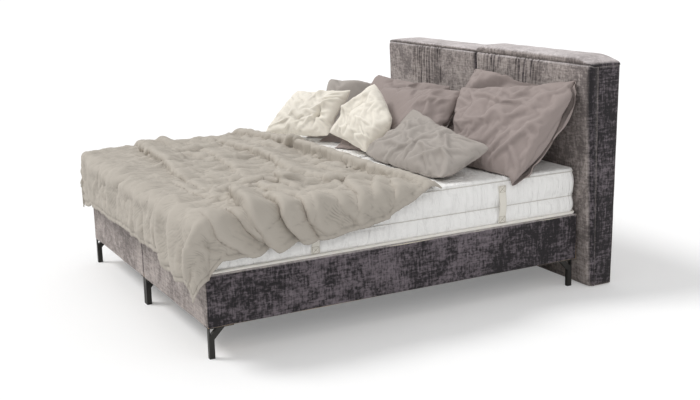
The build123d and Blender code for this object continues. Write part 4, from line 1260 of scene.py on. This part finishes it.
def build_duvet():
    """Crumpled duvet over the foot half of the bed."""
    across = np.linspace(0, 1, round(SPREAD_WIDTH / DUVET_STEP))
    along = np.linspace(0, 1, round(SPREAD_LENGTH / DUVET_STEP))
    u, v = grid(across, along)
    plan, to_head, to_hem = spread_duvet(u, v)
    curl = np.sqrt(1 - (1 - unit(to_head / HEAD_CURL)) ** 2)
    height, lean = fold_shape(plan - (0, FOOT_Y), FOLDS, FOLD_LEAN)
    calm = calm_share(plan[:, 0], plan[:, 1] - FOOT_Y)
    broad = BROAD_WAVES * waves([(*p, 0) for p in plan], 7, SEED, 2)
    lift = DUVET_REST + height + broad * (1 - 0.5 * calm)
    lift = lift * curl - HEAD_DROP * (1 - curl)
    points = hang(plan + lean * curl[:, None], lift)
    faces = grid_faces(len(across), len(along))
    cover = mesh_piece("duvet_quilt", points, faces, FINISHES["duvet_cloth"])
    rim = np.minimum.reduce([u, 1 - u, v, 1 - v])
    stored = cover.data.attributes.new("plan", "FLOAT_VECTOR", "POINT")
    stored.data.foreach_set("vector", np.column_stack([plan, to_hem]).ravel())
    hold = np.maximum(BROAD_HOLD + RIM_HOLD * np.exp(-rim / 0.03), CALM_HOLD * calm)
    add_cloth(cover, DUVET_GROWTH, BROAD_BENDING, hold)
    run_cloth([cover], *BROAD_FRAMES)
    weigh(cover, "body", unit(rim / 0.035))
    refine(cover)
    crease_duvet(cover)
    finer = points_of(cover)
    on_top = finer[:, 2] > MATTRESS_TOP
    hold = FINE_HOLD + FINE_CALM_HOLD * on_top * calm_share(finer[:, 0], finer[:, 1] - FOOT_Y)
    add_cloth(cover, DUVET_GROWTH, FINE_BENDING, hold)
    run_cloth([cover], *FINE_FRAMES)
    set_points(cover, clear_bed(points_of(cover)))
    body = {"vertex_group": "body", "thickness_vertex_group": HEM_THINNESS}
    thicken(cover, DUVET_THICKNESS, -0.3, **body)
    smooth(cover.data)
    place(cover, "duvet", "duvet_cloth", "duvet")


build_duvet()

# Pillows

# Width, height and thickness; place as shares of the bed; turns: yaw, slope and roll.
# These repeat the values of the CAD solids
PILLOWS = {
    "pillow_far": ((0.616, 0.48, 0.165), (-0.331, 0.787, 0.213), (40, 47, 0)),
    "pillow_left_back": ((0.7, 0.48, 0.165), (-0.198, 0.788, 0.316), (34, 50, 0)),
    "pillow_right_back": ((0.7, 0.552, 0.165), (0.228, 0.906, 0.392), (0, 60, 0)),
    "pillow_right_middle": ((0.7, 0.552, 0.165), (0.325, 0.854, 0.359), (12, 50, 5)),
    "pillow_left_front": ((0.7, 0.48, 0.165), (-0.027, 0.755, 0.305), (17.5, 44, 2)),
    "cushion_far": ((0.47, 0.47, 0.15), (-0.351, 0.626, 0.326), (24, 52, 0)),
    "cushion_middle": ((0.47, 0.47, 0.15), (-0.061, 0.67, 0.359), (8, 55, 33)),
    "pillow_right_front": ((0.7, 0.48, 0.165), (0.247, 0.689, 0.204), (0, 27, -6.6)),
}
HEADBOARD_ROOM = pad_high.z - MATTRESS_TOP
PILLOW_STEP = 0.0125
# Powers that shape how full a pillow is towards its ends, towards its long edges and over all
END_POWER = 2.8
EDGE_POWER = 2.6
FULL_POWER = 0.6
PRESS_SOFTNESS = 0.008
# Over this way past its reach, a contact plane steps back by this much
PRESS_FADE = 0.25
PRESS_RETREAT = 0.3
# Reach of a plane that ends nowhere near a pillow
WHOLE_PLANE = 9.0
# How far a pillow may sink past the mattress's edge, and the way over which that sets in
DROOP = 0.045
DROOP_FADE = 0.012
# Least area of a flat face that counts, and how far apart two faces that meet may lie
LEAST_FACE = 0.0004
MEETING_GAP = 0.002
# Least cosine that counts as facing along an axis, towards the headboard, and face to face
ALONG_AXIS = 0.999
TO_HEADBOARD = 0.995
OPPOSITE = 0.9995
FOLD_GAIN = 1.25
CASE_GROWTH = 0.07
CASE_BENDING = 0.08
CASE_FRAMES = (16, 4)
CASE_THICKNESS = 0.002
# How firmly the seams and the panels of a case stay in place while it wrinkles
SEAM_HOLD = 0.35
PANEL_HOLD = 0.12
SEAM_CREASE = 0.6
GATHERS = 26
GATHER_RUN = (0.25, 0.6)
GATHER_RISE = (0.005, 0.01)
GATHER_WIDTHS = (0.011, 0.018)
BLUNT = 0.04


def pillow_matrix(name):
    """Where a pillow stands: x along its width, z out of its face."""
    _, shares, turns = PILLOWS[name]
    x, y = shares[0] * BED_WIDTH, FOOT_Y + shares[1] * BED_LENGTH
    matrix = Matrix.Translation((x, y, MATTRESS_TOP + shares[2] * HEADBOARD_ROOM))
    for turn, axis in zip(turns, "ZXZ"):
        matrix = matrix @ Matrix.Rotation(math.radians(turn), 4, axis)
    return matrix


def flat_faces(name):
    """Large flat faces of a CAD node: normal, distance, middle and reach."""
    polygons = frame["nodes"][name].data.polygons
    normals, centres = read(polygons, "normal"), read(polygons, "center")
    areas = read(polygons, "area", 1)
    distances = (normals * centres).sum(1)
    found = {}
    for normal, distance, area, centre in zip(normals, distances, areas, centres):
        key = (*np.round(normal, 2), round(distance, 3))
        found.setdefault(key, []).append((area, normal, distance, centre))
    flats = []
    for parts in found.values():
        total = sum(part[0] for part in parts)
        if total > LEAST_FACE:
            middle = sum(part[0] * part[3] for part in parts) / total
            reach = max(np.linalg.norm(part[3] - middle) for part in parts)
            flats.append((parts[0][1], parts[0][2], middle, reach + math.sqrt(total) / 3))
    return flats


BEDDING_FACES = {name: flat_faces(name) for name in [*PILLOWS, "duvet"]}


def contact_planes(name):
    """Flat faces at which a pillow meets the mattress, the headboard or its neighbours."""
    planes = []
    others = [f for other, faces in BEDDING_FACES.items() if other != name for f in faces]
    for normal, distance, middle, reach in BEDDING_FACES[name]:
        level_or_side = normal[2] < -ALONG_AXIS or abs(normal[0]) > ALONG_AXIS
        if level_or_side or normal[1] > TO_HEADBOARD:
            planes.append((normal, distance, middle, WHOLE_PLANE))
            continue
        meeting = [
            (there, across)
            for other, far, there, across in others
            if normal @ other < -OPPOSITE and abs(distance + far) < MEETING_GAP
        ]
        if meeting:
            middle, reach = min(meeting + [(middle, reach)], key=lambda face: face[1])
            planes.append((normal, distance, middle, reach))
    return planes


def press(points, planes):
    """Push points that stand past a plane back behind it, softly."""
    for normal, distance, middle, reach in planes:
        past = points @ normal - distance + PRESS_SOFTNESS
        away = np.linalg.norm(points - middle, axis=1) - reach
        past = past - unit(away / PRESS_FADE) * PRESS_RETREAT
        if normal[2] < -ALONG_AXIS:
            beyond = unit((np.abs(points[:, 0]) - BED_WIDTH / 2) / DROOP_FADE)
            past = past - beyond * DROOP
        depth = np.where(past > 0, PRESS_SOFTNESS / (1 + np.maximum(past, 0) / PRESS_SOFTNESS), 0)
        shift = np.where(past > 0, PRESS_SOFTNESS - depth - past, 0)
        points = points + shift[:, None] * normal
    return points


# Folds on the front of a pillow, in metres from its middle: crest, height and two widths
PILLOW_FOLDS = {
    "pillow_left_front": [
        (((0.13, 0.2), (0.02, 0.05), (-0.12, -0.06)), 0.014, 0.014, 0.03),
        (((0.15, 0.2), (0.1, 0.03), (0.06, -0.12)), 0.012, 0.012, 0.028),
        (((0.18, 0.19), (0.22, 0.05), (0.24, -0.08)), 0.012, 0.014, 0.03),
        (((-0.28, 0.12), (-0.12, 0.1), (0.0, 0.14)), 0.012, 0.02, 0.03),
    ],
    "pillow_left_back": [
        (((0.05, 0.18), (0.12, 0.02), (0.16, -0.1)), 0.013, 0.014, 0.03),
        (((0.25, 0.17), (0.2, 0.04), (0.24, -0.1)), 0.012, 0.014, 0.03),
    ],
    "pillow_right_back": [
        (((0.0, 0.24), (0.08, 0.12), (0.2, 0.08)), 0.014, 0.016, 0.03),
        (((-0.25, 0.2), (-0.12, 0.12), (0.0, 0.1)), 0.012, 0.016, 0.03),
    ],
    "pillow_right_middle": [
        (((-0.3, 0.2), (-0.12, 0.2), (0.02, 0.14), (0.14, 0.13)), 0.014, 0.014, 0.035),
        (((-0.05, 0.24), (0.05, 0.19), (0.12, 0.21)), 0.016, 0.012, 0.02),
        (((-0.32, 0.05), (-0.15, 0.0), (0.05, 0.03), (0.2, 0.1)), 0.012, 0.02, 0.04),
        (((0.05, -0.22), (0.16, -0.12), (0.26, 0.02), (0.31, 0.15)), 0.014, 0.02, 0.035),
        (((-0.1, -0.24), (0.05, -0.16), (0.12, -0.05)), 0.012, 0.02, 0.035),
        (((-0.34, -0.1), (-0.2, -0.14), (-0.06, -0.12)), 0.01, 0.02, 0.03),
    ],
    "pillow_right_front": [
        (((0.27, -0.02), (0.2, 0.06), (0.12, 0.15)), 0.02, 0.01, 0.02),
        (((0.26, -0.05), (0.17, -0.08), (0.06, -0.06)), 0.018, 0.01, 0.022),
        (((0.25, -0.06), (0.2, -0.14), (0.1, -0.2)), 0.02, 0.01, 0.022),
        (((0.28, -0.04), (0.32, 0.05)), 0.016, 0.01, 0.02),
        (((-0.3, 0.14), (-0.18, 0.05), (-0.1, -0.06)), 0.012, 0.016, 0.03),
        (((-0.3, -0.18), (-0.14, -0.13), (0.02, -0.15)), 0.012, 0.016, 0.03),
    ],
    "pillow_far": [(((-0.1, 0.18), (-0.04, 0.02), (-0.06, -0.12)), 0.012, 0.014, 0.03)],
    "cushion_far": [
        (((0.19, -0.02), (0.12, -0.05), (0.04, -0.02)), 0.012, 0.008, 0.016),
        (((0.18, -0.1), (0.1, -0.09), (0.02, -0.12)), 0.012, 0.008, 0.016),
        (((0.16, 0.06), (0.12, 0.02), (0.08, 0.0)), 0.01, 0.008, 0.016),
        (((0.12, -0.06), (0.14, -0.06)), -0.055, 0.05, 0.05),
        (((0.08, -0.14), (0.11, -0.08)), 0.012, 0.008, 0.016),
    ],
    "cushion_middle": [
        (((-0.17, 0.1), (-0.05, 0.17), (0.08, 0.17), (0.17, 0.1)), 0.016, 0.02, 0.02),
        (((-0.12, 0.04), (0.0, 0.1), (0.12, 0.06)), -0.012, 0.02, 0.03),
    ],
}
# Where the photograph shows the corners of each pillow, in its pixels: lower left, lower
# right, upper right and upper left as the pillow lies. Hidden corners keep the CAD place
CORNER_PIXELS = {
    "pillow_far": (None, None, None, (329, 78)),
    "pillow_left_back": (None, None, (452, 86), (377, 74)),
    "pillow_left_front": (None, None, (466, 91), (384, 87)),
    "pillow_right_back": (None, None, None, (476, 67)),
    "pillow_right_middle": ((463, 166), (512, 187), (575, 80), (463, 88)),
    "pillow_right_front": ((363, 153), (442, 178), (491, 147), (421, 116)),
    "cushion_far": ((264, 134), (328, 136), (352, 90), (298, 91)),
    "cushion_middle": ((365, 153), (391, 120), (375, 84), (329, 133)),
}
# How far each side swells out between its corners, metres: left, right, lower, upper
SIDE_SWELL = {
    "pillow_right_middle": (0.06, 0.09, -0.01, -0.02),
    "pillow_right_front": (-0.01, -0.02, 0.01, -0.02),
    "cushion_far": (-0.01, -0.02, 0.0, -0.015),
    "cushion_middle": (-0.01, 0.01, 0.02, 0.02),
}
USUAL_SWELL = (-0.02, -0.02, -0.02, -0.02)
# The pillowcase whose end is open, and how wide the opening gapes
OPEN_CASE = "pillow_right_middle"
OPENING = 0.024
CASE_WAVES = 0.007


def pillow_outline(name, u, v):
    """Place of each point in the pillow's own plane, from where its four corners are."""
    width, height, _ = PILLOWS[name][0]
    matrix = pillow_matrix(name)
    normal = matrix.to_3x3() @ Vector((0, 0, 1))
    corners = []
    for pixel, (a, b) in zip(CORNER_PIXELS[name], CORNERS):
        if pixel is None:
            corners.append(np.array((a * width / 2, b * height / 2)))
            continue
        ray = photo_ray(pixel)
        reach = (matrix.translation - CAMERA_PLACE).dot(normal) / ray.dot(normal)
        corners.append(np.array((matrix.inverted() @ (CAMERA_PLACE + ray * reach))[:2]))
    shares = ((1 - u) * (1 - v), (1 + u) * (1 - v), (1 + u) * (1 + v), (1 - u) * (1 + v))
    plan = sum(np.outer(share / 4, corner) for share, corner in zip(shares, corners))
    left, right, lower, upper = SIDE_SWELL.get(name, USUAL_SWELL)
    across = corners[1] + corners[2] - corners[0] - corners[3]
    along = corners[2] + corners[3] - corners[0] - corners[1]
    across, along = across / np.linalg.norm(across), along / np.linalg.norm(along)
    outward_u = right * ((1 + u) / 2) ** 2 - left * ((1 - u) / 2) ** 2
    outward_v = upper * ((1 + v) / 2) ** 2 - lower * ((1 - v) / 2) ** 2
    plan += np.outer(outward_u * (1 - v**2), across) + np.outer(outward_v * (1 - u**2), along)
    blunt = 0 if name == OPEN_CASE else BLUNT
    return plan * (1 - blunt * np.abs(u * v) ** 7)[:, None]


def seam_gathers(width, height, seed):
    """Short creases that run in from the seams and corners of a pillow."""
    draw = np.random.default_rng(SEED + seed)
    gathers = []
    for _ in range(GATHERS):
        edge = draw.integers(4)
        along = draw.uniform(-0.95, 0.95)
        sign = 1 if edge % 2 else -1
        start = np.array((along, sign) if edge < 2 else (sign, along)) * (width / 2, height / 2)
        inward = -start * draw.uniform(*GATHER_RUN) + draw.normal(0, 0.03, 2)
        gathers.append(((start, start + inward), draw.uniform(*GATHER_RISE), *GATHER_WIDTHS))
    return gathers


def pillow_case(name, seed):
    """Front and back panel of a pillow, sewn round the edge, or open at its right end."""
    width, height, thickness = PILLOWS[name][0]
    columns, rows = round(width / PILLOW_STEP), round(height / PILLOW_STEP)
    u, v = grid(np.linspace(-1, 1, columns), np.linspace(-1, 1, rows))
    plan = pillow_outline(name, u, v)
    x, y = plan.T
    full = ((1 - np.abs(u) ** END_POWER) * (1 - np.abs(v) ** EDGE_POWER)) ** FULL_POWER
    gape = np.zeros(len(u))
    if name == OPEN_CASE:
        gape = OPENING * unit((u - 0.75) / 0.25) * (1 - v**2)
    half = thickness / 2 * full + gape
    soft = unit(full * 2)
    even = np.column_stack([u * width / 2, v * height / 2])
    folds, _ = fold_shape(even, PILLOW_FOLDS[name] + seam_gathers(width, height, seed), 0, 1.5)
    folds = FOLD_GAIN * folds * soft
    front_wave = CASE_WAVES * waves([(a, b, seed) for a, b in plan], 8, seed, 2)
    back_wave = CASE_WAVES * waves([(a, b, -seed) for a, b in plan], 8, seed + 9, 2)
    front = np.column_stack([x, y, half + folds + front_wave])
    back = np.column_stack([x, y, -half + back_wave])
    count = len(u)
    column, row = np.divmod(np.arange(count), rows)
    hemmed = (row == 0) | (row == rows - 1)
    sewn = hemmed | (column == 0)
    if name != OPEN_CASE:
        sewn |= column == columns - 1
    border = np.flatnonzero(sewn)
    twin = np.arange(count) + count
    twin[border] = border
    faces = grid_faces(columns, rows)
    faces += [tuple(int(twin[i]) for i in reversed(face)) for face in faces]
    used = np.unique([i for face in faces for i in face])
    renumber = np.zeros(2 * count, dtype=int)
    renumber[used] = np.arange(len(used))
    faces = [tuple(int(renumber[i]) for i in face) for face in faces]
    points = np.concatenate([front, back])[used]
    case = mesh_piece(name + "_case", points, faces, FINISHES[SLOT_OF[name]])
    return case, {int(renumber[i]) for i in border}


def close_opening(name, matrix):
    """Filling that shows inside the open end of the pillowcase."""
    thickness = PILLOWS[name][0][2]
    along, across = np.linspace(-0.95, 0.95, 24), np.linspace(-1, 1, 9)
    a, b = grid(along, across)
    plan = pillow_outline(name, 0.9 - 0.06 * b**2 - 0.03 * a**2, a)
    half = b * thickness / 2 * 0.4 * (1 - np.abs(a) ** EDGE_POWER) ** FULL_POWER
    points = [matrix @ Vector((x, y, z)) for (x, y), z in zip(plan, half)]
    return mesh_piece("filling", points, grid_faces(len(along), len(across)), FINISHES[SLOT_OF[name]])


def build_pillows():
    """All pillows and cushions: wrinkled together, then placed and pressed."""
    cases = {}
    for seed, name in enumerate(PILLOWS):
        case, border = pillow_case(name, seed + 1)
        case.location.x = 2 * seed
        count = len(case.data.vertices)
        hold = [SEAM_HOLD if i in border else PANEL_HOLD for i in range(count)]
        add_cloth(case, CASE_GROWTH, CASE_BENDING, hold)
        cases[name] = (case, border)
    run_cloth([case for case, _ in cases.values()], *CASE_FRAMES)
    for name, (case, border) in cases.items():
        case.location.x = 0
        matrix, planes = pillow_matrix(name), contact_planes(name)
        placed = np.array([matrix @ Vector(p) for p in points_of(case)])
        set_points(case, press(placed, planes))
        crease = case.data.attributes.new("crease_edge", "FLOAT", "EDGE")
        sharp = [SEAM_CREASE if set(edge.vertices) <= border else 0.0 for edge in case.data.edges]
        crease.data.foreach_set("value", sharp)
        refine(case)
        if name == OPEN_CASE:
            thicken(case, CASE_THICKNESS, -1)
            filling = close_opening(name, matrix)
            set_points(filling, press(points_of(filling), planes))
            case = join(name + "_open_case", [case, filling])
        place(case, name, SLOT_OF[name], name)


build_pillows()

# Stage

FLOOR_HALF = 40
FLOOR_GREY = 0.8
FLOOR_LIFT = 0.21
SKY_STRENGTH = 0.62
WHITE = (1, 1, 1, 1)


def build_camera():
    """Camera that sees the bed as the photograph does."""
    data = bpy.data.cameras.new("camera")
    data.sensor_width = SENSOR_WIDTH
    data.lens = SENSOR_WIDTH * FOCAL_PIXELS / PHOTO_WIDTH
    data.shift_y = (OPTICAL_ROW - PHOTO_HEIGHT / 2) / PHOTO_WIDTH
    camera = add_object("camera", data)
    facing = Matrix(camera_axes()).transposed().to_4x4()
    camera.matrix_world = Matrix.Translation(CAMERA_PLACE) @ facing
    scene.camera = camera


def build_floor():
    """Light floor, lifted to white for the camera alone, so it keeps the bed's shadow."""
    nodes = Finish("floor", 1.0)
    nodes.set({"Base Color": (FLOOR_GREY, FLOOR_GREY, FLOOR_GREY, 1), "Emission Color": WHITE})
    path = nodes.node("ShaderNodeLightPath").outputs
    lift = nodes.math("MULTIPLY", path["Is Camera Ray"], FLOOR_LIFT)
    nodes.link(lift, nodes.shader.inputs["Emission Strength"])
    corners = [(x * FLOOR_HALF, y * FLOOR_HALF, 0) for x, y in CORNERS]
    mesh_piece("floor", corners, [(0, 1, 2, 3)], nodes.material)


def build_sky():
    """White where it is seen or mirrored, dimmer where it only lights the bed."""
    world = bpy.data.worlds.new("studio")
    scene.world = world
    world.use_nodes = True
    nodes = NodeTree(world.node_tree)
    sky = world.node_tree.nodes["Background"]
    sky.inputs["Color"].default_value = WHITE
    path = nodes.node("ShaderNodeLightPath").outputs
    mirrored = nodes.math("MAXIMUM", path["Is Glossy Ray"], path["Is Transmission Ray"])
    seen = nodes.math("MAXIMUM", path["Is Camera Ray"], mirrored)
    nodes.link(nodes.range(seen, 0.0, 1.0, SKY_STRENGTH, 1.0), sky.inputs["Strength"])


def sun(name, direction, strength, angle):
    """Distant lamp that shines along a direction, with soft shadows."""
    data = bpy.data.lights.new(name, "SUN")
    data.energy = strength
    data.angle = math.radians(angle)
    lamp = add_object(name, data)
    lamp.rotation_euler = (-Vector(direction)).to_track_quat("Z", "Y").to_euler()


build_camera()
build_floor()
build_sky()
sun("key", (0.5, 0.6, -1.0), 1.5, 20)
sun("fill", (-0.75, 0.5, -0.5), 0.34, 20)

scene.view_settings.view_transform = "Standard"
